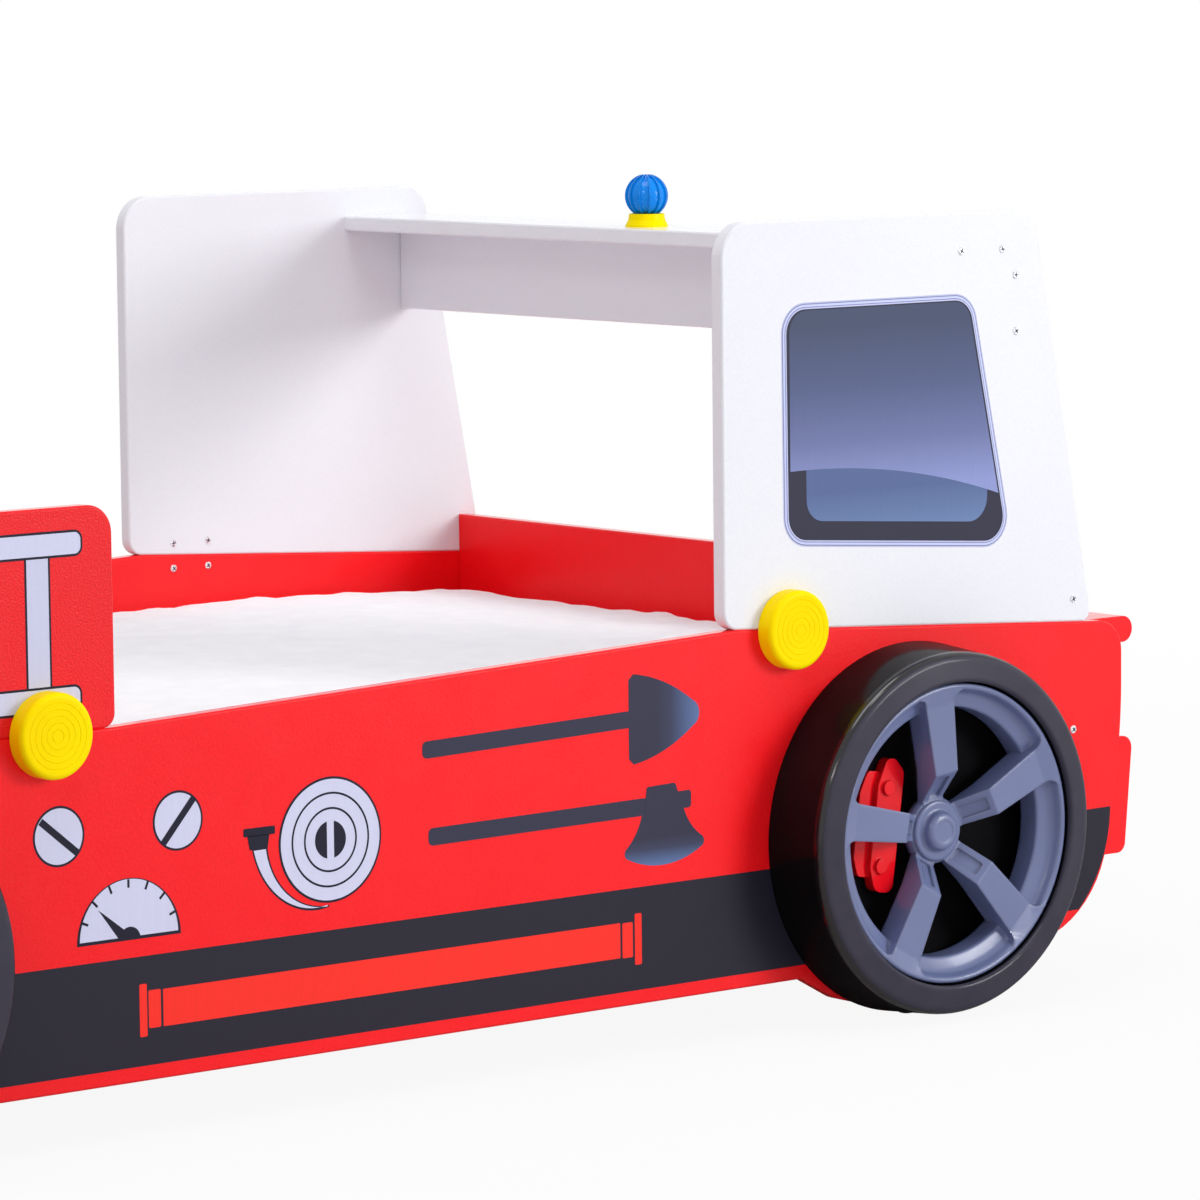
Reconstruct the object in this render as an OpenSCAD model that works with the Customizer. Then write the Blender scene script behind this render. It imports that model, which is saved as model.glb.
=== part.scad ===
// A child's single bed in the form of a fire engine, in millimetres.
// +X points to the nose, +Y to the left side, +Z up. The floor is Z = 0, and the bed is centred on X and Y.

/* [Mattress] */
// Length of the mattress that the bed is made for
mattress_len = 1900; // [1700:10:2000]
// Width of the mattress
mattress_w = 900; // [800:10:1000]
// Thickness of the mattress at its edge
mattress_t = 150; // [110:5:160]
// Rise of the middle of the mattress above its edge
mattress_crown = 6; // [1:1:10]
// Free gap between the mattress and each side panel
side_gap = 10; // [4:1:15]
// Free gap between the mattress and each end board
end_gap = 10; // [4:1:15]

/* [Boards] */
// Thickness of the painted boards
board_t = 15; // [12:1:18]
// Bevel that takes the sharp edge off each painted board
edge_ease = 1.5; // [0.5:0.25:2]

/* [Side panels] */
// Height of the long lower edge above the floor
panel_clear = 48; // [40:1:56]
// Height of the upper edge under the guard panel
panel_top_rear = 347; // [335:1:360]
// Height of the upper edge at its peak, under the rear of the cab
panel_peak = 373.5; // [365:0.5:385]
// Height of the upper edge at the nose
panel_top_nose = 344.5; // [335:0.5:355]
// Reach of the nose edge past the front board
nose_reach = 57; // [45:1:70]
// Lean of the lower nose edge from the vertical, in degrees
nose_lean = 11.3; // [6:0.1:16]
// Height at which the nose edge starts to lean
nose_bend_z = 230; // [200:1:250]
// Radius of the large curve under the nose
nose_r = 105; // [80:1:115]
// Reach of the panels past the rear board
tail_reach = 20; // [12:1:40]
// Radius of the lower rear corner
tail_r = 60; // [20:1:90]

/* [Wheels] */
// Distance of the front wheel's axis behind the front board's inner face
wheel_back = 201; // [190:1:240]
// Distance of the rear wheel's axis ahead of the rear board's inner face
wheel_ahead = 530; // [500:1:560]
// Height of the wheel axes above the floor
axle_z = 175; // [174:0.5:178]
// Outer radius of the tyre shell where it meets the panel
tyre_r = 171.5; // [165:0.5:172]
// Depth of the tyre shell from the panel to the edge of its opening
tyre_depth = 70; // [64:1:76]
// Radius of the opening in the tyre's face
tyre_open_r = 139.5; // [138:0.5:144]
// Outer radius of the rim
rim_r = 135.5; // [131:0.5:137]
// Number of spokes
spokes = 5; // [4:1:6]
// Turn of the spokes from the upright, in degrees
spoke_turn = 7.5; // [0:0.5:30]
// Width of a spoke at its kink
spoke_w_hub = 27; // [24:0.5:30]
// Width of a spoke where it meets the rim
spoke_w_rim = 34; // [31:0.5:40]
// Radius of the hub disc
hub_r = 28; // [26:0.5:31]

/* [Cab] */
// Distance from the front board's inner face back to the cab's rear edge
cab_back = 423; // [400:1:440]
// Height of the cab's upper edge
cab_top = 738; // [720:1:760]
// Length of the cab's upper edge before its corners are rounded
cab_top_len = 382; // [370:1:400]
// Lean of the cab's front edge from the vertical, in degrees
cab_lean = 10.6; // [8:0.1:12]
// Height of the front board's upper edge
front_board_top = 388; // [376:1:400]
// Height of the roof shelf's upper face
shelf_top = 709.6; // [690:0.1:715]
// Distance from the cab's rear edge to the shelf's rear edge
shelf_inset = 278.5; // [260:0.5:284]
// Depth of the roof shelf
shelf_depth = 90; // [80:1:94]
// Height of the apron under the roof shelf
apron_h = 84; // [60:1:100]

/* [Guard] */
// Length of the guard panel
guard_len = 875; // [800:5:900]
// Height of the guard panel's upper edge
guard_top = 532; // [500:1:560]
// Height of the rear board's upper edge
rear_board_top = 500; // [470:1:520]

/* [Nose] */
// Reach of the hood ledge past the front board
ledge_reach = 84.3; // [78:0.1:95]
// Thickness of the hood ledge
ledge_t = 25; // [18:1:28]
// Height of the bumper
bumper_h = 112; // [90:1:125]
// Thickness of the bumper
bumper_t = 36; // [30:1:40]
// Height of the bumper's lower edge
bumper_z = 119; // [115:1:135]
// Lean of the bumper and the fascia from the vertical, in degrees
fascia_lean = 5.4; // [3:0.1:6]

/* [Discs and beacon] */
// Radius of the joint discs
disc_r = 36; // [32:1:40]
// Thickness of the joint discs
disc_t = 18; // [15:1:24]
// Radius of the beacon's ball over its ribs
ball_r = 21.5; // [18:0.5:24]
// Height of the beacon's base
beacon_base_h = 13; // [10:1:18]
// Offset of the beacon from the middle of the shelf, towards the left side
beacon_offset = 20; // [0:1:60]

/* [Slatted base] */
// Height of the slats' upper faces above the floor
deck_z = 163; // [156:1:175]
// Thickness of a slat
slat_t = 18; // [15:1:22]
// Width of a slat
slat_w = 95; // [70:1:100]
// Height of the side rails that carry the slats
rail_h = 45; // [38:1:50]
// Width of the side rails
rail_w = 30; // [25:1:36]
// Width of the centre beam
beam_w = 40; // [35:1:50]
// Height of the centre beam
beam_h = 60; // [50:1:66]

/* [Hidden] */

SLATS = ["slat_01", "slat_02", "slat_03", "slat_04", "slat_05", "slat_06",
         "slat_07", "slat_08", "slat_09", "slat_10", "slat_11", "slat_12"];

// Colours of the real object
RED = [0.93, 0.07, 0.09];
WHITE = [0.93, 0.94, 0.96];
YELLOW = [1, 0.86, 0];
BLUE = [0, 0.45, 0.85];
BLACK = [0.05, 0.05, 0.06];
SLATE = [0.33, 0.37, 0.5];
PINE = [0.85, 0.7, 0.48];
STEEL = [0.72, 0.73, 0.75];

// Places along X, from the tail to the nose
inner_w = mattress_w + 2 * side_gap;
inner_len = mattress_len + 2 * end_gap;
bed_len = tail_reach + 2 * board_t + inner_len + ledge_reach;
tail_x = -bed_len / 2;
rear_board_x = tail_x + tail_reach;
inner_rear_x = rear_board_x + board_t;
inner_front_x = inner_rear_x + inner_len;
front_face_x = inner_front_x + board_t;
nose_x = front_face_x + nose_reach;
wheel_front_x = inner_front_x - wheel_back;
wheel_rear_x = inner_rear_x + wheel_ahead;
outer_y = inner_w / 2 + board_t;

// Cab outline: its corner radii, its rear edge and its peak on the side panel
cab_rear_x = inner_front_x - cab_back;
cab_r_low = 16;
cab_r_low_front = 10;
cab_r_high = 33;
cab_r_high_front = 30;
peak_x = cab_rear_x + cab_r_low;

// Guard outline
guard_front_x = tail_x + guard_len;
guard_r_high = 24;
guard_r_low = 12;

// The side panel's upper edge as a height at any X
nose_slope = (panel_top_nose - panel_peak) / (nose_x - peak_x);
rise_slope = (panel_peak - panel_top_rear) / (peak_x - guard_front_x);
function cab_seam_z(x) = panel_peak + nose_slope * (x - peak_x);
function panel_top_z(x) = x < guard_front_x ? panel_top_rear
    : x < peak_x ? panel_top_rear + rise_slope * (x - guard_front_x)
    : cab_seam_z(x);

// Feet of the side panels, centred behind the wheels
glide_h = 5;
foot_half = 132;
foot_slope = 29;
foot_knee = 90;
foot_knee_z = panel_clear - (foot_half - foot_knee) * tan(foot_slope);
foot_tip = 20;
foot_r = 18;
foot_knee_r = 30;
foot_tip_r = 6;

// Screws: a shank in a bore with a small clearance, and a thin round head
screw_d = 4;
screw_bore = screw_d + 0.4;
head_d = 8;
head_h = 1.2;
fit = 0.3;

// Joint discs
disc_x = [cab_rear_x + 75.5, guard_front_x - 69];
disc_screw_dx = 21.6;
disc_screw_dz = 13;

// Roof, in steps from the cab's rear edge
shelf_x = cab_rear_x + shelf_inset;
apron_x = shelf_x + shelf_depth - board_t - 3.5;
shelf_z = shelf_top - board_t;
apron_z = shelf_z - apron_h;
beacon_x = shelf_x + shelf_depth / 2;

// Nose
ledge_top = cab_seam_z(nose_x - 30);
ledge_z = ledge_top - ledge_t;
bumper_front_x = nose_x + 17.5;
fascia_drop = 7;
fascia_z = bumper_z - fascia_drop;
function fascia_front_x(z) = bumper_front_x - bumper_t / cos(fascia_lean) + tan(fascia_lean) * (z - bumper_z);

// Slatted base
slat_z = deck_z - slat_t;
rail_z = slat_z - rail_h;
beam_z = slat_z - beam_h;
slat_end_inset = 60;
slat_pitch = (inner_len - 2 * slat_end_inset) / (len(SLATS) - 1);
slat_end_gap = 2;
bracket_t = 2;
bracket_w = 80;
leg_w = 40;
leg_step = inner_len / 3.2;
board_low_z = 78;
inner_mid_x = (inner_rear_x + inner_front_x) / 2;
legs_x = [inner_mid_x + leg_step, inner_mid_x, inner_mid_x - leg_step];
function slat_x(i) = inner_rear_x + slat_end_inset + i * slat_pitch;

// Screw places as [x, z] on a side: boards across the bed, then rails, discs and wheels
front_mid_x = inner_front_x + board_t / 2;
rear_mid_x = rear_board_x + board_t / 2;
low_screw_z = 122;
high_screw_z = 246;
front_screw_drop = 18;
rear_screw_rise = 50;
rear_screw_drop = 30;
shelf_screw_back = 10.5;
shelf_screw_ahead = 62;
apron_screw_drop = 17;
apron_screw_rise = 15;
front_low_screws = [[front_mid_x, low_screw_z], [front_mid_x, high_screw_z]];
front_high_screws = [[front_mid_x, front_board_top - front_screw_drop]];
rear_low_screws = [[rear_mid_x, low_screw_z], [rear_mid_x, high_screw_z]];
rear_high_screws = [[rear_mid_x, panel_top_rear + rear_screw_rise], [rear_mid_x, rear_board_top - rear_screw_drop]];
shelf_screws = [for (x = [shelf_screw_back, shelf_screw_ahead]) [shelf_x + x, shelf_z + board_t / 2]];
apron_screws = [for (z = [shelf_z - apron_screw_drop, apron_z + apron_screw_rise]) [apron_x + board_t / 2, z]];
cab_screws = concat(front_high_screws, shelf_screws, apron_screws);
cross_screws = concat(front_low_screws, rear_low_screws, rear_high_screws, cab_screws);
cross_screw_len = 45;
disc_screw_len = board_t + 12;
wheel_screw_len = board_t + 10;
wheel_screw_r = 94;
wheel_screw_offsets = [for (a = [20, 138, 245, 295]) [wheel_screw_r * cos(a), wheel_screw_r * sin(a)]];
rail_screw_count = 7;
rail_screw_len = rail_w + 10;
rail_screw_z = rail_z + rail_h / 2;
rail_screw_inset = 140;
rail_screw_pitch = (inner_len - 2 * rail_screw_inset) / (rail_screw_count - 1);
rail_screws_x = [for (i = [0 : rail_screw_count - 1]) inner_rear_x + rail_screw_inset + i * rail_screw_pitch];
slat_screw_len = 34;
slat_sink = 1.5;
disc_screws_at = [for (x = disc_x, dx = [-1, 1], dz = [-1, 1])
    [x + dx * disc_screw_dx, panel_top_z(x) + dz * disc_screw_dz, dz]];
wheel_screws_at = [for (x = [wheel_front_x, wheel_rear_x], p = wheel_screw_offsets) [x + p[0], axle_z + p[1]]];

// Outline helpers. A corner is [x, y, radius], and the corners run anticlockwise.
arc_steps = 12;
function unit(v) = v / norm(v);
function xy(c, i) = let (k = (i + len(c)) % len(c)) [c[k][0], c[k][1]];
function inward(a, b) = let (d = unit(b - a)) [-d[1], d[0]];
function corner_arc(a, b, e, r, n) =
    r == 0 ? [b] :
    let (u = unit(a - b), v = unit(e - b), half = acos(u * v) / 2,
         centre = b + unit(u + v) * r / sin(half),
         p = b + u * r / tan(half) - centre, q = b + v * r / tan(half) - centre,
         start = atan2(p[1], p[0]), turn = atan2(p[0] * q[1] - p[1] * q[0], p * q))
    [for (k = [0 : n]) centre + r * [cos(start + turn * k / n), sin(start + turn * k / n)]];
function outline(c, n = arc_steps) =
    [for (i = [0 : len(c) - 1]) each corner_arc(xy(c, i - 1), xy(c, i), xy(c, i + 1), c[i][2], n)];
function inset(c, d) =
    [for (i = [0 : len(c) - 1])
        let (a = xy(c, i - 1), b = xy(c, i), e = xy(c, i + 1), n1 = inward(a, b), n2 = inward(b, e),
             m = b + d * (n1 + n2) / (1 + n1 * n2), bend = cross(b - a, e - b))
        [m[0], m[1], c[i][2] == 0 ? 0 : c[i][2] - sign(bend) * d]];

// A closed skin over rings of points that all run anticlockwise and have the same count. Each end face is cut into
// fans: a fan lists point numbers in the ring's order, and sees all of them from its first point.
module skin(rings, fans) {
    n = len(rings[0]);
    last = (len(rings) - 1) * n;
    sides = [for (j = [0 : len(rings) - 2], i = [0 : n - 1])
        let (k = (i + 1) % n) [j * n + i, (j + 1) * n + i, (j + 1) * n + k, j * n + k]];
    base = [for (f = fans, k = [1 : len(f) - 2]) [f[0], f[k], f[k + 1]]];
    lid = [for (t = base) [last + t[0], last + t[2], last + t[1]]];
    polyhedron([for (r = rings) each r], concat(base, lid, sides), convexity = 6);
}

function one_fan(points) = [[for (i = [0 : len(points) - 1]) i]];

function ring(points, z) = [for (p = points) [p[0], p[1], z]];

// A board lying flat, with the bevel round both faces. A board that isn't convex needs its own fans.
module board(corners, fans) {
    full = outline(corners);
    eased = outline(inset(corners, edge_ease));
    skin([ring(eased, 0), ring(full, edge_ease), ring(full, board_t - edge_ease), ring(eased, board_t)],
        fans == undef ? one_fan(full) : fans);
}

// The same board standing along X, from the inner face to the outer face of the right side
module upright(corners, fans) translate([0, -inner_w / 2, 0]) rotate([90, 0, 0]) board(corners, fans);

// The left side is the right one seen in a mirror
module left() mirror([0, 1, 0]) children();

// A bore along Y through a right-hand board, and beyond both faces
module side_bores(places, d = screw_bore)
    for (p = places) translate([p[0], -inner_w / 2 + 1, p[1]]) rotate([90, 0, 0])
        cylinder(d = d, h = board_t + 2, $fn = 24);

function box_corners(x0, x1, y0, y1, r = 0) = [[x0, y0, r], [x1, y0, r], [x1, y1, r], [x0, y1, r]];

// Side panel: feet, long lower edge, curved nose and the rising upper edge
nose_bend_r = 600;
nose_top_r = 30;
low_nose_x = nose_x - tan(nose_lean) * (nose_bend_z - panel_clear);
function foot(x) = [[x - foot_half, panel_clear, foot_r], [x - foot_knee, foot_knee_z, foot_knee_r],
                    [x - foot_tip, glide_h, foot_tip_r], [x + foot_tip, glide_h, foot_tip_r],
                    [x + foot_knee, foot_knee_z, foot_knee_r], [x + foot_half, panel_clear, foot_r]];
side_corners = concat([[tail_x, panel_clear, tail_r]], foot(wheel_rear_x), foot(wheel_front_x),
    [[low_nose_x, panel_clear, nose_r], [nose_x, nose_bend_z, nose_bend_r], [nose_x, cab_seam_z(nose_x), nose_top_r],
     [peak_x, panel_peak, 0], [guard_front_x, panel_top_rear, 0], [tail_x, panel_top_rear, 0]]);

// Its end faces in two fans, from the guard's corner and from the peak, which share the line to the front foot
side_last = len(outline(side_corners)) - 1;
side_split = 7 * (arc_steps + 1);
side_fans = [concat([side_last - 1, side_last], [for (i = [0 : side_split]) i], [side_last - 2]),
             concat([side_last - 2], [for (i = [side_split : side_last - 3]) i])];

module side_panel() color(RED) difference() {
    upright(side_corners, side_fans);
    side_bores(concat(front_low_screws, rear_low_screws));
    side_bores([for (p = disc_screws_at) if (p[2] < 0) p]);
    side_bores(wheel_screws_at);
    for (x = rail_screws_x) translate([x, -inner_w / 2 + 1, rail_screw_z]) rotate([90, 0, 0])
        cylinder(d = screw_bore, h = rail_screw_len - rail_w + 1.5, $fn = 24);
}

// Cab panel: stands on the side panel's upper edge
cab_front_x = cab_rear_x + cab_top_len;
cab_foot_x = (cab_front_x + tan(cab_lean) * (cab_top - panel_peak + nose_slope * peak_x))
    / (1 + tan(cab_lean) * nose_slope);
cab_corners = [[cab_rear_x, cab_seam_z(cab_rear_x), cab_r_low], [cab_foot_x, cab_seam_z(cab_foot_x), cab_r_low_front],
               [cab_front_x, cab_top, cab_r_high_front], [cab_rear_x, cab_top, cab_r_high]];

module cab_panel() color(WHITE) difference() {
    upright(cab_corners);
    side_bores(cab_screws);
    side_bores([for (p = disc_screws_at) if (p[2] > 0 && p[0] > cab_rear_x) p]);
}

// Guard panel: stands on the side panel at the tail
guard_corners = [[tail_x, panel_top_rear, 0], [guard_front_x, panel_top_rear, guard_r_low],
                 [guard_front_x, guard_top, guard_r_high], [tail_x, guard_top, guard_r_high]];

module guard_panel() color(RED) difference() {
    upright(guard_corners);
    side_bores(rear_high_screws);
    side_bores([for (p = disc_screws_at) if (p[2] > 0 && p[0] < guard_front_x) p]);
}

// Bores in both ends of a board that lies across the bed
module end_bores(places) for (s = [-1, 1], p = places)
    translate([p[0], s * (inner_w / 2 - cross_screw_len + board_t - 1), p[1]]) rotate([-90 * s, 0, 0])
        cylinder(d = screw_bore, h = cross_screw_len - board_t + 2, $fn = 24);

// A board across the bed that stands upright, from its rear face at x
module cross_board(x, z0, z1) translate([x, 0, 0]) rotate([90, 0, 90])
    board(box_corners(-inner_w / 2, inner_w / 2, z0, z1));

module front_board() color(RED) difference() {
    cross_board(inner_front_x, board_low_z, front_board_top);
    end_bores(concat(front_low_screws, front_high_screws));
}

module rear_board() color(RED) difference() {
    cross_board(rear_board_x, board_low_z, rear_board_top);
    end_bores(concat(rear_low_screws, rear_high_screws));
}

module roof_shelf() color(WHITE) difference() {
    translate([0, 0, shelf_z]) board(box_corners(shelf_x, shelf_x + shelf_depth, -inner_w / 2, inner_w / 2));
    end_bores(shelf_screws);
}

module roof_apron() color(WHITE) difference() {
    cross_board(apron_x, apron_z, shelf_z);
    end_bores(apron_screws);
}

// Extrudes a drawing of the X-Z plane across the bed, between the side panels
module across(half) rotate([90, 0, 0]) translate([0, 0, -half]) linear_extrude(2 * half) children();

module hood_ledge() color(RED) across(inner_w / 2) {
    translate([front_face_x, ledge_z]) square([ledge_reach - ledge_t / 2, ledge_t]);
    translate([front_face_x + ledge_reach - ledge_t / 2, ledge_z + ledge_t / 2]) circle(d = ledge_t, $fn = 48);
}

module fascia_board() color(RED) across(inner_w / 2)
    polygon([[fascia_front_x(fascia_z) - board_t, fascia_z], [fascia_front_x(fascia_z), fascia_z],
             [fascia_front_x(ledge_z), ledge_z], [fascia_front_x(ledge_z) - board_t, ledge_z]]);

bumper_top = bumper_z + bumper_h;
bumper_deep = bumper_t / cos(fascia_lean);
bumper_corners = [[fascia_front_x(bumper_z), bumper_z, 0], [fascia_front_x(bumper_z) + bumper_deep, bumper_z, 10],
                  [fascia_front_x(bumper_top) + bumper_deep, bumper_top, 12], [fascia_front_x(bumper_top), bumper_top, 0]];
module bumper() color(RED) across(inner_w / 2 - fit) polygon(outline(bumper_corners));

cleat_w = 22;
cleat_z = fascia_z + cleat_w - 4;
module nose_cleat() color(PINE) translate([0, -inner_w / 2 + cleat_w, 0]) rotate([90, 0, 0]) linear_extrude(cleat_w)
    polygon([for (p = [[cleat_w, cleat_z], [0, cleat_z], [0, ledge_z], [cleat_w, ledge_z]])
        [fascia_front_x(p[1]) - board_t - p[0], p[1]]]);

// Beacon on the roof shelf
beacon_base_r = 21;
beacon_neck_r = 17.5;
rib_count = 12;
ball_centre_z = beacon_base_h + sqrt(ball_r * ball_r - pow(beacon_neck_r - 5, 2));
module at_beacon() translate([beacon_x, beacon_offset, shelf_top]) children();

module beacon_base() color(YELLOW) at_beacon() rotate_extrude($fn = 64) polygon(concat([[0, 0]], outline([
    [beacon_base_r, 0, 0], [beacon_base_r, 2, 1], [beacon_neck_r + 0.8, 7, 4],
    [beacon_neck_r, beacon_base_h, 1], [beacon_neck_r - 3, beacon_base_h, 0]], 5), [[0, beacon_base_h]]));

rib_t = 1.6;
rib_free_r = 5;
module ribs() difference() {
    for (k = [0 : rib_count / 2 - 1]) rotate([90, 0, k * 360 / rib_count])
        translate([0, 0, -rib_t / 2]) cylinder(r = ball_r, h = rib_t, $fn = 64);
    translate([0, 0, -ball_r - 1]) cylinder(r = rib_free_r, h = 2 * ball_r + 2, $fn = 32);
}
module beacon_ball() color(BLUE) at_beacon() intersection() {
    translate([0, 0, ball_centre_z]) union() {
        sphere(r = ball_r - 2, $fn = 64);
        ribs();
    }
    translate([0, 0, beacon_base_h]) cylinder(r = 2 * ball_r, h = 3 * ball_r, $fn = 32);
}

// Joint disc: a turned knob with fine rings in its face, screwed on from inside
disc_round = 5;
ring_step = 5.5;
ring_cut = 0.5;
function disc_rings() = [for (k = [5 : -1 : 1]) each
    [[k * ring_step + ring_cut, disc_t], [k * ring_step, disc_t - ring_cut], [k * ring_step - ring_cut, disc_t]]];
module joint_disc(i) color(YELLOW) difference() {
    translate([disc_x[i], -outer_y, panel_top_z(disc_x[i])]) rotate([90, 0, 0]) rotate_extrude($fn = 96)
        polygon(concat([[0, 0]], corner_arc([0, 0], [disc_r, 0], [disc_r, disc_t], 1, 4),
            corner_arc([disc_r, 0], [disc_r, disc_t], [0, disc_t], disc_round, 8), disc_rings(), [[0, disc_t]]));
    for (p = disc_screws_at) translate([p[0], -outer_y + 1, p[1]]) rotate([90, 0, 0])
        cylinder(d = screw_bore, h = disc_screw_len - board_t + 1.5, $fn = 24);
}

// Wheel: everything is drawn with the axis along Z, from the panel outwards
wall = 3.5;
back_disc_z = 16;
module wheel_place(x) translate([x, -outer_y, axle_z]) rotate([90, 0, 0]) children();

module tyre() color(BLACK) difference() {
    union() {
        rotate_extrude($fn = 128) polygon(tyre_profile());
        for (p = wheel_screw_offsets) translate([p[0], p[1], 0]) cylinder(d = 16, h = back_disc_z - wall / 2, $fn = 32);
    }
    for (p = wheel_screw_offsets) translate([p[0], p[1], -1])
        cylinder(d = screw_bore, h = wheel_screw_len - board_t + 2, $fn = 24);
}

// The tyre's section: outer wall, rounded shoulder, slightly coned face, inner wall and the disc behind the spokes
tyre_shoulder = tyre_r - 5.5;
tyre_face_z = tyre_depth - 4;
function tyre_profile() = concat(
    [[tyre_r - wall, 0], [tyre_r, 0]],
    corner_arc([tyre_r, 0], [tyre_shoulder, tyre_face_z], [tyre_open_r, tyre_depth], 9, 8),
    corner_arc([tyre_shoulder, tyre_face_z], [tyre_open_r, tyre_depth], [tyre_open_r, back_disc_z], 3, 5),
    [[tyre_open_r, back_disc_z], [0, back_disc_z], [0, back_disc_z - wall],
     [tyre_open_r + wall, back_disc_z - wall], [tyre_open_r + wall, tyre_depth - wall - 1],
     [tyre_shoulder - 6, tyre_face_z - wall]]);

// Rim: a barrel with a bead, a ledge and a skirt, the hub with its knob, and the kinked spokes
rim_front_z = tyre_depth - 10;
bead_w = 8;
bead_flat = 5;
ledge_drop = 9;
ledge_w = 20.5;
ledge_fall = 2;
skirt_h = 22;
barrel_t = 6;
hub_base_r = hub_r + 3.5;
hub_z = rim_front_z - 20.5;
knob_r = 18.5;
knob_flat_r = 12;
knob_h = 9;

module rim() color(SLATE) {
    rotate_extrude($fn = 128) polygon(ring_profile());
    rotate_extrude($fn = 96) polygon(hub_profile());
    for (k = [0 : spokes - 1]) rotate([0, 0, 90 + spoke_turn + k * 360 / spokes]) spoke();
}

bead_r = rim_r - bead_w;
skirt_r = rim_r - ledge_w;
function ring_profile() = let (ledge = rim_front_z - ledge_drop, low = ledge - ledge_fall) concat(
    [[rim_r - barrel_t, back_disc_z], [rim_r, back_disc_z]],
    corner_arc([rim_r, back_disc_z], [rim_r, rim_front_z], [rim_r - bead_flat, rim_front_z], 2.4, 5),
    corner_arc([rim_r, rim_front_z], [rim_r - bead_flat, rim_front_z], [bead_r, ledge], 3.4, 5),
    corner_arc([rim_r - bead_flat, rim_front_z], [bead_r, ledge], [skirt_r, low], 5, 5),
    corner_arc([bead_r, ledge], [skirt_r, low], [skirt_r, low - skirt_h], 3, 5),
    [[skirt_r, low - skirt_h], [skirt_r + 3, low - skirt_h], [skirt_r + 3, low - 4], [rim_r - barrel_t, low - 4]]);
function hub_profile() = let (top = hub_z + knob_h) concat(
    [[0, back_disc_z], [knob_r, back_disc_z], [knob_r, hub_z - 14], [hub_base_r, hub_z - 13], [hub_base_r, hub_z - 7],
     [hub_r + 1.5, hub_z - 3.5], [hub_r, hub_z - 3.5]],
    corner_arc([hub_r, hub_z - 3.5], [hub_r, hub_z], [0, hub_z], 2.2, 5),
    corner_arc([hub_r, hub_z], [knob_r, hub_z], [knob_r - 1, top], 2, 4),
    corner_arc([knob_r, hub_z], [knob_r - 1, top], [0, top], 6, 7),
    [[knob_flat_r - 1.5, top], [knob_flat_r - 2, top - 0.6], [0, top - 0.6]]);

// One spoke along +X: its plan, its side view with the kink, and the pocket in the slope down to the hub
kink_r = 56.5;
spoke_z = rim_front_z - 0.4;
spoke_t = 26;
slope_r = hub_r + 2.5;
slope_z = hub_z - 3;
spoke_start = hub_r - 8;
spoke_end = rim_r - 3.2;
spoke_fillet = 8;
slope_turn = atan2(spoke_z - slope_z, kink_r - slope_r);
pocket_len = norm([spoke_z - slope_z, kink_r - slope_r]) - 7;
module spoke() difference() {
    intersection() {
        linear_extrude(tyre_depth) polygon(concat(spoke_edge(-1), spoke_edge(1)));
        rotate([90, 0, 0]) translate([0, 0, -spoke_w_rim]) linear_extrude(2 * spoke_w_rim) polygon([
            [spoke_start, slope_z - 9], [kink_r + 4, spoke_z - spoke_t], [spoke_end, spoke_z - spoke_t],
            [spoke_end, spoke_z], [kink_r, spoke_z], [slope_r, slope_z], [spoke_start, slope_z - 1]]);
    }
    translate([slope_r, 0, slope_z]) rotate([0, -slope_turn, 0]) translate([1, 0, -2.5]) linear_extrude(10)
        polygon(outline(box_corners(0, pocket_len, -6.5, 6.5, 2), 3));
}
// Half of the spoke's plan: straight from the hub, then a fillet into the bead
function spoke_edge(s) = let (w0 = spoke_w_hub / 2, w1 = spoke_w_rim / 2, f = spoke_fillet,
        arc = [for (t = [-90 : 22.5 : 0]) [bead_r - f + f * cos(t), s * (w1 + f + f * sin(t))]],
        pts = concat([[spoke_start, s * (w0 - 1.5)], [kink_r, s * w0]], arc, [[spoke_end, s * (w1 + f + 2)]]))
    s < 0 ? pts : [for (i = [len(pts) - 1 : -1 : 0]) pts[i]];

// Caliper on the back disc, drawn along +X: a raised bar with two bosses, and a lower and shorter block outside it
caliper_turn = 172;
caliper_in = hub_base_r + 6.5;
caliper_h = 11;
caliper_bar = [[caliper_in, -60, 9], [caliper_in + 22, -60, 11], [caliper_in + 30, -38, 16], [caliper_in + 30, 38, 16],
               [caliper_in + 22, 63, 8], [caliper_in + 12, 63, 8], [caliper_in, 52, 10]];
caliper_block = [[caliper_in + 20, -47, 0], [caliper_in + 40, -47, 6], [caliper_in + 47, -30, 12],
                 [caliper_in + 47, 30, 12], [caliper_in + 40, 50, 6], [caliper_in + 20, 50, 0]];
module caliper() color(RED) translate([0, 0, back_disc_z]) rotate([0, 0, caliper_turn]) mirror([0, 1, 0]) {
    linear_extrude(caliper_h) polygon(outline(caliper_bar, 5));
    linear_extrude(caliper_h - 5) polygon(outline(caliper_block, 5));
    for (s = [-1, 1]) translate([caliper_in + 18, s * 36, 0]) cylinder(d1 = 17, d2 = 14, h = caliper_h + 3, $fn = 32);
}

// Slatted base
module slat_rail() color(PINE) difference() {
    translate([inner_rear_x, -inner_w / 2, rail_z]) cube([inner_len, rail_w, rail_h]);
    for (x = rail_screws_x) translate([x, -inner_w / 2 + rail_w + 1, rail_screw_z]) rotate([90, 0, 0])
        cylinder(d = screw_bore, h = rail_w + 2, $fn = 24);
    for (i = [0 : len(SLATS) - 1]) translate([slat_x(i), -inner_w / 2 + rail_w / 2, deck_z - slat_screw_len - 2])
        cylinder(d = screw_bore, h = slat_screw_len, $fn = 24);
}

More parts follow.
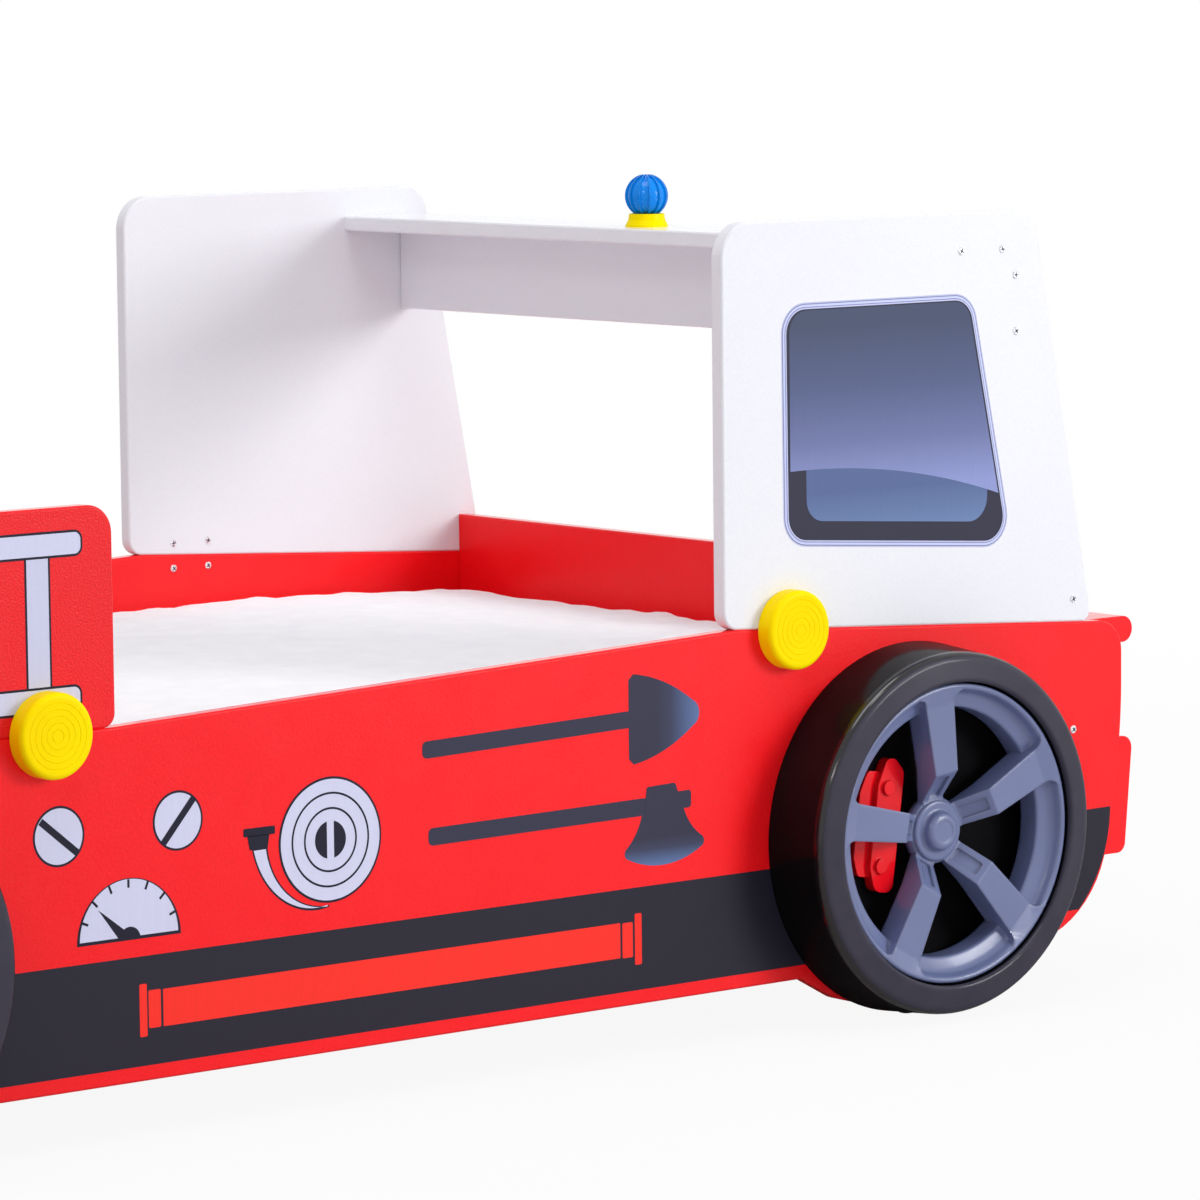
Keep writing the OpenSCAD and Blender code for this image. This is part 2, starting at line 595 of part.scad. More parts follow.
module slat(i) color(PINE) difference() {
    translate([slat_x(i), 0, slat_z]) linear_extrude(slat_t)
        polygon(outline(box_corners(-slat_w / 2, slat_w / 2, -inner_w / 2 + slat_end_gap, inner_w / 2 - slat_end_gap, 4), 3));
    for (s = [-1, 1]) translate([slat_x(i), s * (inner_w / 2 - rail_w / 2), 0]) {
        translate([0, 0, slat_z - 1]) cylinder(d = screw_bore, h = slat_t + 2, $fn = 24);
        translate([0, 0, deck_z - slat_sink]) cylinder(d = head_d + 0.6, h = slat_sink + 1, $fn = 24);
    }
}

module centre_beam() color(PINE)
    translate([inner_rear_x + bracket_t, -beam_w / 2, beam_z]) cube([inner_len - 2 * bracket_t, beam_w, beam_h]);

// Bracket: a steel saddle on the end board that holds the beam
module beam_bracket() color(STEEL) {
    translate([0, -bracket_w / 2, beam_z - bracket_t]) cube([bracket_t, bracket_w, beam_h * 0.9]);
    translate([0, -beam_w / 2 - bracket_t, beam_z - bracket_t]) cube([45, beam_w + 2 * bracket_t, bracket_t]);
    for (s = [0, 1]) translate([0, s == 0 ? -beam_w / 2 - bracket_t : beam_w / 2, beam_z - bracket_t])
        cube([45, bracket_t, beam_h * 0.7]);
}

module centre_leg(i) color(PINE) translate([legs_x[i] - leg_w / 2, -leg_w / 2, glide_h]) cube([leg_w, leg_w, beam_z - glide_h]);

module floor_glides() color(BLACK) {
    for (s = [-1, 1], x = [wheel_front_x, wheel_rear_x])
        translate([x, s * (outer_y - board_t / 2), 0]) linear_extrude(glide_h)
            polygon(outline(box_corners(-4, 16, -board_t / 2 + 1.5, board_t / 2 - 1.5, 4), 4));
    for (x = legs_x) translate([x, 0, 0]) cylinder(d = 30, h = glide_h, $fn = 48);
}

// A screw along -Z: its head's underside lies at Z = 0
module screw(len) {
    translate([0, 0, -len]) cylinder(d = screw_d, h = len + head_h / 2, $fn = 24);
    cylinder(d1 = head_d, d2 = head_d - 1.6, h = head_h, $fn = 32);
}

module both_sides() {
    children();
    left() children();
}

module board_screws() color(STEEL) both_sides()
    for (p = cross_screws) translate([p[0], -outer_y, p[1]]) rotate([90, 0, 0]) screw(cross_screw_len);

module disc_screws() color(STEEL) both_sides()
    for (p = disc_screws_at) translate([p[0], -inner_w / 2, p[1]]) rotate([-90, 0, 0]) screw(disc_screw_len);

module wheel_screws() color(STEEL) both_sides()
    for (p = wheel_screws_at) translate([p[0], -inner_w / 2, p[1]]) rotate([-90, 0, 0]) screw(wheel_screw_len);

module rail_screws() color(STEEL) both_sides()
    for (x = rail_screws_x) translate([x, -inner_w / 2 + rail_w, rail_screw_z]) rotate([-90, 0, 0]) screw(rail_screw_len);

module slat_screws() color(STEEL) both_sides() for (i = [0 : len(SLATS) - 1])
    translate([slat_x(i), -inner_w / 2 + rail_w / 2, deck_z - slat_sink]) screw(slat_screw_len - slat_sink);

// Mattress: a soft block with rounded edges, slightly waisted sides and a crowned top
rest_gap = 0.3;
plan_r = 60;
edge_r = 26;
waist = 3;
edge_steps = 5;
crown_steps = 5;
function mattress_plan(d) = outline(box_corners(inner_mid_x - mattress_len / 2 + d, inner_mid_x + mattress_len / 2 - d,
    -mattress_w / 2 + d, mattress_w / 2 - d, max(plan_r - d, 8)), 6);
module mattress() color(WHITE) {
    z0 = deck_z + rest_gap;
    low = [for (k = [0 : edge_steps]) let (a = 90 * k / edge_steps)
        ring(mattress_plan(edge_r * (1 - sin(a))), z0 + edge_r * (1 - cos(a)))];
    middle = [ring(mattress_plan(waist), z0 + mattress_t / 2)];
    high = [for (k = [0 : edge_steps]) let (a = 90 * k / edge_steps)
        ring(mattress_plan(edge_r * (1 - cos(a))), z0 + mattress_t - edge_r + edge_r * sin(a))];
    top = [for (k = [1 : crown_steps]) let (s = k / crown_steps)
        ring(mattress_plan(edge_r + s * (mattress_w / 2 - edge_r - 30)),
            z0 + mattress_t + mattress_crown * (1 - pow(1 - s, 2)))];
    skin(concat(low, middle, high, top), one_fan(middle[0]));
}

side_panel();  // side_panel_right
left() side_panel();  // side_panel_left
cab_panel();  // cab_panel_right
left() cab_panel();  // cab_panel_left
guard_panel();  // guard_panel_right
left() guard_panel();  // guard_panel_left
front_board();
rear_board();
roof_shelf();
roof_apron();
hood_ledge();
fascia_board();
bumper();
nose_cleat();  // nose_cleat_right
left() nose_cleat();  // nose_cleat_left
beacon_base();
beacon_ball();
joint_disc(0);  // cab_disc_right
left() joint_disc(0);  // cab_disc_left
joint_disc(1);  // guard_disc_right
left() joint_disc(1);  // guard_disc_left
wheel_place(wheel_front_x) tyre();  // front_right_tyre
wheel_place(wheel_front_x) rim();  // front_right_rim
wheel_place(wheel_front_x) caliper();  // front_right_caliper
left() wheel_place(wheel_front_x) tyre();  // front_left_tyre
left() wheel_place(wheel_front_x) rim();  // front_left_rim
left() wheel_place(wheel_front_x) caliper();  // front_left_caliper
wheel_place(wheel_rear_x) tyre();  // rear_right_tyre
wheel_place(wheel_rear_x) rim();  // rear_right_rim
wheel_place(wheel_rear_x) caliper();  // rear_right_caliper
left() wheel_place(wheel_rear_x) tyre();  // rear_left_tyre
left() wheel_place(wheel_rear_x) rim();  // rear_left_rim
left() wheel_place(wheel_rear_x) caliper();  // rear_left_caliper
slat_rail();  // slat_rail_right
left() slat_rail();  // slat_rail_left
centre_beam();
translate([inner_front_x, 0, 0]) mirror([1, 0, 0]) beam_bracket();  // beam_bracket_front
translate([inner_rear_x, 0, 0]) beam_bracket();  // beam_bracket_rear
centre_leg(0);  // centre_leg_front
centre_leg(1);  // centre_leg_middle
centre_leg(2);  // centre_leg_rear
for (i = [0 : len(SLATS) - 1]) slat(i);
mattress();
floor_glides();
board_screws();
disc_screws();
wheel_screws();
rail_screws();
slat_screws();
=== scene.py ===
# %% [markdown]
# A child's bed in the form of a fire engine, dressed for its portrait.
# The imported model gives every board, wheel and screw its true place, so this lesson starts from it.
# We keep those solids, give each one a finish, and make new pieces where the real one has more to show.
# All lengths are in metres. X runs from the tail to the nose, Y to the left side, and Z up.

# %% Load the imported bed
import math

import bmesh
import bpy
from mathutils import Matrix, Vector, noise


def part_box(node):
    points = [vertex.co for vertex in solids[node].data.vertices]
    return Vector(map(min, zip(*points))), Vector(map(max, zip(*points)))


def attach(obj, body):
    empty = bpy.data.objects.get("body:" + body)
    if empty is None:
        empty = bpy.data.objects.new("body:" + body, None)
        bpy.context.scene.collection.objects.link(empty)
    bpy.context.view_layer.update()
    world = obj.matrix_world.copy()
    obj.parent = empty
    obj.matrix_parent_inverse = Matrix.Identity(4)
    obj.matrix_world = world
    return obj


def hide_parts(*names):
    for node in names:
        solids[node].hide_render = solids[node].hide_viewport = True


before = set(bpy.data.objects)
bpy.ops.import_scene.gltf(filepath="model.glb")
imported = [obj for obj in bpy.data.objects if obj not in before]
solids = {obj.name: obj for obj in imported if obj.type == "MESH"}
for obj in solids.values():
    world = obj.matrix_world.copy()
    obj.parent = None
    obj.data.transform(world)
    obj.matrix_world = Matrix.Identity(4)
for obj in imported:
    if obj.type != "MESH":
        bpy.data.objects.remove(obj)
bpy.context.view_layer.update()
scene = bpy.context.scene
MM = 0.001


def configure(thing, **values):
    """Sets several properties of a thing, and returns it."""
    for key, value in values.items():
        setattr(thing, key, value)
    return thing


def add_object(name, data):
    thing = bpy.data.objects.new(name, data)
    scene.collection.objects.link(thing)
    return thing


# %% [markdown]
# The camera comes first, because every later choice is judged through it.
# Its place and lens were worked out from the straight edges of the boards, whose sizes are known.
# A long lens from five metres away keeps the long panel from looking stretched.

# %% Camera
CAMERA_PLACE = Vector((-2.81775, -4.3939, 0.9641))
CAMERA_YAW = 0.681700191
CAMERA_PITCH = 0.108821892
CAMERA_ROLL = -0.010182359
CAMERA_LENS_MM = 173.511


def camera_axes(yaw, pitch, roll):
    """The camera's right, up and forward directions."""
    forward = Vector((math.sin(yaw) * math.cos(pitch), math.cos(yaw) * math.cos(pitch), -math.sin(pitch)))
    level = Vector((math.cos(yaw), -math.sin(yaw), 0))
    upright = level.cross(forward)
    right = math.cos(roll) * level + math.sin(roll) * upright
    up = math.cos(roll) * upright - math.sin(roll) * level
    return right, up, forward


view_right, view_up, view_forward = camera_axes(CAMERA_YAW, CAMERA_PITCH, CAMERA_ROLL)
camera_data = bpy.data.cameras.new("portrait_camera")
configure(camera_data, lens=CAMERA_LENS_MM, sensor_width=36, clip_start=0.1, clip_end=100)
camera = add_object("portrait_camera", camera_data)
turn = Matrix((view_right, view_up, -view_forward)).transposed().to_4x4()
camera.matrix_world = Matrix.Translation(CAMERA_PLACE) @ turn
scene.camera = camera
scene.view_settings.view_transform = "Standard"
print("camera", tuple(round(v, 3) for v in camera.location), "lens", round(camera.data.lens, 1), "mm")

# %% [markdown]
# Every finish below is a small sum of patterns: a cloud here, a grain there, one colour blended into another.
# Such sums read best as Python expressions. A Wire stands for one socket, and adding, subtracting or
# multiplying wires adds the Math nodes for us. A Finish owns a material and has one method that adds any
# other node. That method serves a group of Geometry Nodes just as well.

# %% Wires and finishes
class Wire:
    """A socket that can be used in sums. Each operation adds one Math node to the same tree."""

    def __init__(self, finish, socket):
        self.finish = finish
        self.socket = socket

    def math(self, operation, first, second):
        return self.finish.add("ShaderNodeMath", {"operation": operation}, {0: first, 1: second})

    def __add__(self, other):
        return self.math("ADD", self, other)

    def __rsub__(self, other):
        return self.math("SUBTRACT", other, self)

    def __mul__(self, other):
        return self.math("MULTIPLY", self, other)

    def larger(self, other):
        return self.math("MAXIMUM", self, other)

    def part(self, axis):
        """One of the three numbers of a vector."""
        return self.finish.add("ShaderNodeSeparateXYZ", None, {0: self}, out=axis)


def find_socket(sockets, key):
    """A socket by its number, its identifier or its name."""
    if isinstance(key, int):
        return sockets[key]
    return next(s for s in sockets if key in (s.identifier, s.name))


class Finish:
    """One material, with its tree, its main shader and the call that adds nodes."""

    def __init__(self, name, constants=None, tree=None):
        if tree is None:
            self.material = bpy.data.materials.new(name)
            self.material.use_nodes = True
            tree = self.material.node_tree
        self.tree = tree
        self.shader = tree.nodes.get("Principled BSDF")
        for key, value in (constants or {}).items():
            self.shader.inputs[key].default_value = value

    def add(self, kind, settings=None, inputs=None, out=0):
        """Adds a node: first its settings, a ramp's stops too, then its sockets. Returns one output."""
        node = self.tree.nodes.new(kind)
        for key, value in (settings or {}).items():
            if key == "stops":
                self.set_stops(node.color_ramp, value)
            else:
                setattr(node, key, value)
        for key, value in (inputs or {}).items():
            self.plug(find_socket(node.inputs, key), value)
        return Wire(self, find_socket(node.outputs, out))

    def set_stops(self, ramp, stops):
        while len(ramp.elements) < len(stops):
            ramp.elements.new(1)
        for element, (place, colour) in zip(ramp.elements, stops):
            element.position = place
            element.color = (*colour, 1)

    def plug(self, socket, value):
        if isinstance(value, Wire):
            self.tree.links.new(value.socket, socket)
        elif hasattr(value, "__len__") and len(value) == 3 and socket.type == "RGBA":
            socket.default_value = (*value, 1)
        else:
            socket.default_value = value

    def feed(self, key, value):
        """Plugs a wire into the main shader."""
        self.plug(self.shader.inputs[key], value)

    def vector_math(self, operation, first, second=(0, 0, 0), out=0):
        return self.add("ShaderNodeVectorMath", {"operation": operation}, {0: first, 1: second}, out)

    def place(self, stretch=(1, 1, 1)):
        """Where a point lies on the bed, stretched by a factor along each axis."""
        point = self.add("ShaderNodeTexCoord", out="Object")
        return point if stretch == (1, 1, 1) else self.vector_math("MULTIPLY", point, stretch)

    def facing(self):
        """The direction that a face looks in."""
        return self.add("ShaderNodeTexCoord", out="Normal")

    def facing_round(self, round_mm):
        """The same, as if the edges were rounded."""
        return self.add("ShaderNodeBevel", {"samples": 6}, {"Radius": round_mm * MM}, out="Normal")

    def cloud(self, scale, detail=2.0, stretch=(1, 1, 1)):
        """Soft noise from 0 to 1, with scale patches to the metre."""
        inputs = {"Vector": self.place(stretch), "Scale": scale, "Detail": detail}
        return self.add("ShaderNodeTexNoise", None, inputs, out="Fac")

    def spread(self, value, low, high, to_low=0.0, to_high=1.0):
        """Maps low..high to another range, and holds it there."""
        inputs = {"Value": value, "From Min": low, "From Max": high, "To Min": to_low, "To Max": to_high}
        return self.add("ShaderNodeMapRange", {"clamp": True}, inputs)

    def mix(self, share, first, second):
        """One colour blended into another."""
        inputs = {"Factor_Float": share, "A_Color": first, "B_Color": second}
        return self.add("ShaderNodeMix", {"data_type": "RGBA"}, inputs, out="Result_Color")

    def blend(self, share, first, second):
        self.feed("Base Color", self.mix(share, first, second))

    def wander(self, value, rough, change):
        """A roughness that follows a noise, up and down by the change."""
        self.feed("Roughness", self.spread(value, 0.3, 0.7, rough - change, rough + change))

    def bump(self, height, depth_mm, round_mm=0.0):
        """Small relief, from a height of 0 to 1 and its depth. Edges may look rounded by some millimetres."""
        inputs = {"Height": height, "Distance": depth_mm * MM}
        if round_mm:
            inputs["Normal"] = self.facing_round(round_mm)
        self.feed("Normal", self.add("ShaderNodeBump", None, inputs, out="Normal"))


def tint(red, green, blue):
    """A colour picked on a screen, from 0 to 255, as the light that the shader works with."""
    def light(value):
        value /= 255
        return value / 12.92 if value <= 0.04045 else ((value + 0.055) / 1.055) ** 2.4
    return light(red), light(green), light(blue)


print("a wire stands for a socket, and a finish for a material")

# %% [markdown]
# The studio is as plain as it can be: a pale floor, a white surround and large soft lamps.
# The surround looks white to the camera and in reflections, but lights the bed at a lower level,
# so pale boards keep their shade. The floor does the same, but near the bed a soft shadow falls on it, and
# reflections there show it as grey as it is.
# Further out it is wholly white, so no line shows where it meets the surround.

# %% Floor and surround
FLOOR_HALF = 30
FLOOR_COLOUR = (0.68, 0.68, 0.69, 1)
FLOOR_GLOW = 0.92
FADE_FROM = 1.3
FADE_TO = 3.6
SURROUND_LIGHT = 0.55


def seen_directly(finish):
    """Two shares, of the camera's rays and of reflections. Both are 0 for light that falls on things."""
    rays = ("Is Camera Ray", "Is Glossy Ray", "Is Transmission Ray")
    camera_ray, glossy_ray, clear_ray = (finish.add("ShaderNodeLightPath", out=ray) for ray in rays)
    return camera_ray, glossy_ray.larger(clear_ray)


def make_floor():
    mesh = bpy.data.meshes.new("studio_floor")
    corners = [(FLOOR_HALF * x, FLOOR_HALF * y, 0) for x, y in ((-1, -1), (1, -1), (1, 1), (-1, 1))]
    mesh.from_pydata(corners, [], [(0, 1, 2, 3)])
    floor = add_object("studio_floor", mesh)
    finish = Finish("studio_floor_finish", {"Base Color": FLOOR_COLOUR, "Roughness": 0.9})
    glow = finish.add("ShaderNodeEmission", None, {"Color": (1.0, 1.0, 1.0), "Strength": 1.0})
    away = finish.vector_math("LENGTH", finish.place(), out="Value")
    camera_ray, mirrored = seen_directly(finish)
    share = (camera_ray * finish.spread(away, FADE_FROM, FADE_TO, FLOOR_GLOW, 1.0)
             + mirrored * finish.spread(away, FADE_FROM, FADE_TO))
    both = finish.add("ShaderNodeMixShader", None,
                      {0: share, 1: Wire(finish, finish.shader.outputs[0]), 2: glow})
    finish.plug(finish.tree.nodes["Material Output"].inputs["Surface"], both)
    mesh.materials.append(finish.material)


def make_surround():
    world = bpy.data.worlds.new("studio_surround")
    world.use_nodes = True
    scene.world = world
    finish = Finish("studio_surround", tree=world.node_tree)
    shown = finish.add("ShaderNodeBackground", None, {"Color": (1.0, 1.0, 1.0), "Strength": 1.0})
    lit = finish.add("ShaderNodeBackground", None, {"Color": (0.97, 0.98, 1.0), "Strength": SURROUND_LIGHT})
    camera_ray, mirrored = seen_directly(finish)
    both = finish.add("ShaderNodeMixShader", None, {0: camera_ray + mirrored, 1: lit, 2: shown})
    finish.plug(world.node_tree.nodes["World Output"].inputs["Surface"], both)


make_floor()
make_surround()
print("floor", 2 * FLOOR_HALF, "m wide; the surround lights at", SURROUND_LIGHT)

# %% [markdown]
# The main lamp stands low at the bed's right front. It gives the discs and wheels their short shadows
# towards the tail, and the roof shelf its long one on the far cab panel. A lamp overhead lights the mattress
# and the top edges of the boards. A weaker one on the tail's side, faintly rosy, gives the faces that look to
# the tail their warm grey, and draws thin bright lines along rounded edges.

# %% Lamps
BED_MIDDLE = Vector((0.25, 0, 0.35))


def add_lamp(name, away, distance, size, power, colour=(1, 1, 1)):
    """A square soft lamp, away along a direction from the bed's middle, that looks back at it."""
    data = configure(bpy.data.lights.new(name, "AREA"), shape="SQUARE", size=size, energy=power, color=colour)
    direction = Vector(away).normalized()
    return configure(add_object(name, data), location=BED_MIDDLE + direction * distance,
                     rotation_mode="QUATERNION", rotation_quaternion=(-direction).to_track_quat("-Z", "Y"))


lamps = [
    add_lamp("key_lamp", (0.7, -1.0, 0.32), 5.5, 1.7, 124),
    add_lamp("top_lamp", (-0.1, -0.15, 1.0), 4.5, 2.4, 78),
    add_lamp("fill_lamp", (-0.8, -0.6, 0.6), 4.5, 0.7, 16, (1.0, 0.92, 0.95)),
]
print("lamps:", [(lamp.name, lamp.data.energy) for lamp in lamps])

# %% [markdown]
# The boards are fibreboard under a satin paint. A roller or spray leaves a fine orange peel,
# a millimetre or two across, and the coat is never quite even. So each paint has a faint cloud of colour,
# a fine speckle, a roughness that wanders a little, and a relief of about a tenth of a millimetre.
# The long edges that look up are sanded and varnished, so a glossy coat lies on them alone.
# The guards have a coarser peel, as the photograph shows.
# Each finish is kept under the name of the slot that it is for.

# %% Paint for the boards
BOARD_EDGE_MM = 1.6
EDGE_COAT = 0.8


def make_paint(name, colour, darker, peel_mm, rough, peel_scale=620):
    finish = Finish(name, {"Specular IOR Level": 0.25, "Coat Roughness": 0.12})
    finish.feed("Coat Weight", finish.spread(finish.facing().part("Z"), 0.9, 0.98, 0.0, EDGE_COAT))
    cloud = finish.cloud(2.2, 3.0)
    speckle = finish.cloud(peel_scale, 1.0)
    finish.blend(finish.spread(cloud * 0.45 + speckle * 0.55, 0.32, 0.68), darker, colour)
    finish.wander(finish.cloud(35), rough, 0.05)
    finish.bump(speckle, peel_mm, BOARD_EDGE_MM)
    return finish.material


guard_paint = make_paint("textured_red_paint", tint(255, 32, 40), tint(226, 6, 18), 0.28, 0.36, 600)
finish_of_slot = {
    "red_board": make_paint("red_paint", tint(255, 20, 28), tint(244, 12, 22), 0.16, 0.34),
    "white_board": make_paint("white_paint", tint(236, 237, 242), tint(229, 230, 236), 0.05, 0.46),
}
print("paint for the guards, and for", list(finish_of_slot))

# %% [markdown]
# The base under the mattress is bare pine. Its grain runs along each bar, so there is one wood for each
# direction: a noise stretched along the bar gives the fine fibres, and a second, wider one the growth rings.

# %% Pine
PINE_LIGHT = tint(226, 196, 148)
PINE_DARK = tint(196, 152, 98)
RINGS_ACROSS = 9
ALONG_GRAIN = 0.06


def make_pine(axis):
    finish = Finish(f"pine_along_{axis}")
    stretch = tuple(ALONG_GRAIN if axis == other else 1 for other in "xyz")
    rings = finish.cloud(14, 2.0, stretch)
    ring_lines = rings.math("PINGPONG", rings * RINGS_ACROSS, 1.0)
    fibres = finish.cloud(160, 3.0, stretch)
    finish.blend(finish.spread(ring_lines * 0.6 + fibres * 0.4, 0.2, 0.8), PINE_LIGHT, PINE_DARK)
    finish.wander(fibres, 0.6, 0.08)
    finish.bump(fibres, 0.12)
    return finish.material


pine_along = {axis: make_pine(axis) for axis in "xyz"}
print("pine:", [wood.name for wood in pine_along.values()])

# %% [markdown]
# The moulded parts come out of polished or blasted moulds. A glossy one has hardly any texture, only a slow
# waviness. A blasted one has a fine grain. Both get tiny changes of roughness, which break up highlights.
# The rims are glossiest along their rounded edges, found where the rounded direction leaves the face's own.

# %% Moulded plastics
def make_plastic(name, colour, darker, rough, grain_mm, gloss=0.5, coat=0.0, round_mm=0.0, edge_coat=0.0):
    finish = Finish(name, {"Specular IOR Level": gloss, "Coat Weight": coat, "Coat Roughness": 0.06})
    cloud = finish.cloud(9)
    grain = finish.cloud(900, 1.0)
    finish.blend(finish.spread(cloud, 0.35, 0.65), darker, colour)
    finish.wander(finish.cloud(25), rough, 0.02)
    finish.bump(grain, grain_mm, round_mm)
    if edge_coat:
        alike = finish.vector_math("DOT_PRODUCT", finish.facing_round(round_mm), finish.facing(), "Value")
        finish.feed("Coat Weight", finish.spread(alike, 0.9, 0.99, edge_coat, coat))
    return finish.material


for colour, light, darker, *values in (
        ("yellow", tint(255, 231, 0), tint(255, 223, 0), 0.34, 0.01, 0.04),
        ("blue", tint(0, 140, 236), tint(0, 130, 226), 0.2, 0.01, 0.08, 0.3, 1.5),
        ("rim", tint(108, 118, 158), tint(102, 112, 151), 0.3, 0.004, 0.5, 0.15, 3.5, 1.0),
        ("caliper", tint(255, 6, 26), tint(246, 4, 22), 0.24, 0.01, 0.15, 0.3, 2.0),
        ("glide", tint(34, 34, 37), tint(26, 26, 29), 0.5, 0.04)):
    finish_of_slot[colour + "_plastic"] = make_plastic(colour + "_moulding", light, darker, *values)
print("finishes so far:", list(finish_of_slot))

# %% [markdown]
# A tyre comes out of its mould glossy on the tread, which mirrors the panel and the yellow disc behind it,
# glossiest on its shoulder, and matt on its face. Behind the spokes it is dull. The tread and the back behind
# the spokes are painted nearly black, a painted shade darker than the plastic, and the face a lighter grey,
# painted light, though the moulding is one black plastic.
# The distance from the axle and from the bed's middle plane tell these places apart.

# %% Tyres
TYRE_FRONT_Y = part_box("front_left_tyre")[1].y
FACE_DEPTH = 0.0035
SHOULDER_DEPTH = 0.0115
SHOULDER_ROUND_MM = 6.0
INSIDE_R = 0.137
FACE_EDGE_R = 0.166


def make_tyre(end):
    low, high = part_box(f"{end}_left_tyre")
    axle = ((low.x + high.x) / 2, 0, (low.z + high.z) / 2)
    finish = Finish(f"tyre_moulding_{end}", {"Specular IOR Level": 0.06, "Coat Roughness": 0.12})
    across = finish.place().part("Y")
    outward = across.math("ABSOLUTE", across, 0)
    from_axle = finish.vector_math("SUBTRACT", finish.place((1, 0, 1)), axle)
    radius = finish.vector_math("LENGTH", from_axle, out="Value")
    face = finish.spread(outward, TYRE_FRONT_Y - FACE_DEPTH - 0.002, TYRE_FRONT_Y - FACE_DEPTH)
    shoulder = finish.spread(outward, TYRE_FRONT_Y - SHOULDER_DEPTH - 0.003, TYRE_FRONT_Y - SHOULDER_DEPTH)
    outside = finish.spread(radius, INSIDE_R, INSIDE_R + 0.001)
    cloud = finish.spread(finish.cloud(30, 3.0), 0.3, 0.7)
    grain = finish.cloud(900, 1.0)
    # Painted shade and painted light: a nearly black tread and back, and a lighter grey face.
    shaded_tread_colour = finish.mix(cloud, tint(3, 3, 5), tint(8, 7, 10))
    lit_face_colour = finish.mix(cloud, tint(56, 54, 66), tint(62, 60, 72))
    finish.blend(face, shaded_tread_colour, lit_face_colour)
    finish.feed("Roughness", finish.spread(face * outside + cloud * 0.1, 0.0, 1.1, 0.7, 0.5))
    rim_of_face = finish.spread(radius, FACE_EDGE_R - 0.004, FACE_EDGE_R)
    polished = (shoulder * (1 - face)).larger(rim_of_face * face)
    upward = finish.spread(finish.facing().part("Z"), -0.3, 0.4, 0.04, 0.3)
    finish.feed("Coat Weight", outside * polished.larger(upward))
    finish.bump(grain * face, 0.05, SHOULDER_ROUND_MM)
    return finish.material


tyre_finish = {end: make_tyre(end) for end in ("front", "rear")}
print("the tyre's face starts", round(1000 * FACE_DEPTH, 1), "mm behind its front")

# %% [markdown]
# Screws and brackets are zinc-plated steel: a bright metal whose plating clouds a little.
# The cross in a screw's head gets a dark blue steel, a painted shade for its recess.

# %% Zinc-plated steel
def make_steel(name, darker, colour):
    finish = Finish(name, {"Metallic": 1.0})
    cloud = finish.cloud(420, 3.0)
    finish.blend(finish.spread(cloud, 0.3, 0.7), darker, colour)
    finish.wander(cloud, 0.27, 0.07)
    finish.bump(cloud, 0.02)
    return finish.material


finish_of_slot["steel"] = make_steel("plated_steel", tint(205, 207, 212), tint(245, 246, 250))
# The cross recesses get a dark blue steel: a painted shade.
recess_steel = make_steel("recess_steel", tint(44, 52, 72), tint(64, 74, 98))
print("steels:", finish_of_slot["steel"].name, recess_steel.name)

# %% [markdown]
# The solids keep their shapes. Each takes its finish by the slot that the record gives it,
# except the guards, the tyres, and the pine bars, which take the wood that runs along their longest side.

# %% Finishes on the solids
def longest_axis(node):
    low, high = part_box(node)
    size = high - low
    return "xyz"[max(range(3), key=lambda axis: size[axis])]


for node, solid in solids.items():
    for material_slot in solid.material_slots:
        finish_name = material_slot.material.name
        if node.startswith("guard_panel"):
            material_slot.material = guard_paint
        elif finish_name == "pine":
            material_slot.material = pine_along[longest_axis(node)]
        elif finish_name == "tyre_plastic":
            material_slot.material = tyre_finish[node.split("_")[0]]
        elif finish_name in finish_of_slot:
            material_slot.material = finish_of_slot[finish_name]
print("finishes on", len(solids), "solids")

# %% [markdown]
# The wheel's rim is pressed into its tyre, so on the real one its outer bead touches the tyre's opening
# nearly all round. The solids keep a few millimetres free there. We take a merged copy of each rim and draw
# its bead outwards and forwards. A smooth step from ledge to bead keeps the spokes as they are.

# %% Rims that meet their tyres
BEAD_FROM = 0.118
BEAD_AT = 0.131
BEAD_OUT = 0.0022
BEAD_FORWARD = 0.004


def merged(mesh):
    """A copy of a mesh to work on, whose loose faces are sewn together."""
    shape = bmesh.new()
    shape.from_mesh(mesh)
    bmesh.ops.remove_doubles(shape, verts=shape.verts, dist=1e-5)
    return shape


def finished(shape, name):
    mesh = bpy.data.meshes.new(name)
    shape.to_mesh(mesh)
    shape.free()
    return mesh


def smooth_step(value, low, high):
    share = max(0.0, min(1.0, (value - low) / (high - low)))
    return share * share * (3 - 2 * share)


def fitted_rim(node):
    low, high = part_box(node)
    side = 1 if low.y > 0 else -1
    centre_x, centre_z = (low.x + high.x) / 2, (low.z + high.z) / 2
    shape = merged(solids[node].data)
    for vertex in shape.verts:
        across, up = vertex.co.x - centre_x, vertex.co.z - centre_z
        radius = math.hypot(across, up)
        share = smooth_step(radius, BEAD_FROM, BEAD_AT)
        grown = 1 + BEAD_OUT * share / radius
        forward = side * BEAD_FORWARD * share
        vertex.co = (centre_x + across * grown, vertex.co.y + forward, centre_z + up * grown)
    mesh = finished(shape, "fitted_" + node)
    mesh.materials.append(finish_of_slot["rim_plastic"])
    rim = add_object("fitted_" + node, mesh)
    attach(rim, "bed_frame")
    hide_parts(node)
    return rim


rims = [fitted_rim(node) for node in sorted(solids) if node.endswith("_rim")]
print([rim.name for rim in rims], "with", len(rims[0].data.polygons), "faces each")

# %% [markdown]
# The fire engine's fittings are printed flat on the boards: a ladder, a gauge, a hose reel, tools, a window.
# Print is ink that stands a hair above the paint. So each drawing is a stack of thin slabs, each a tenth of a
# millimetre above the last: a dark slab for the outline, and a pale one inside it. A few helpers draw the
# shapes from circles, arcs and rounded corners, in millimetres along the board and up it.

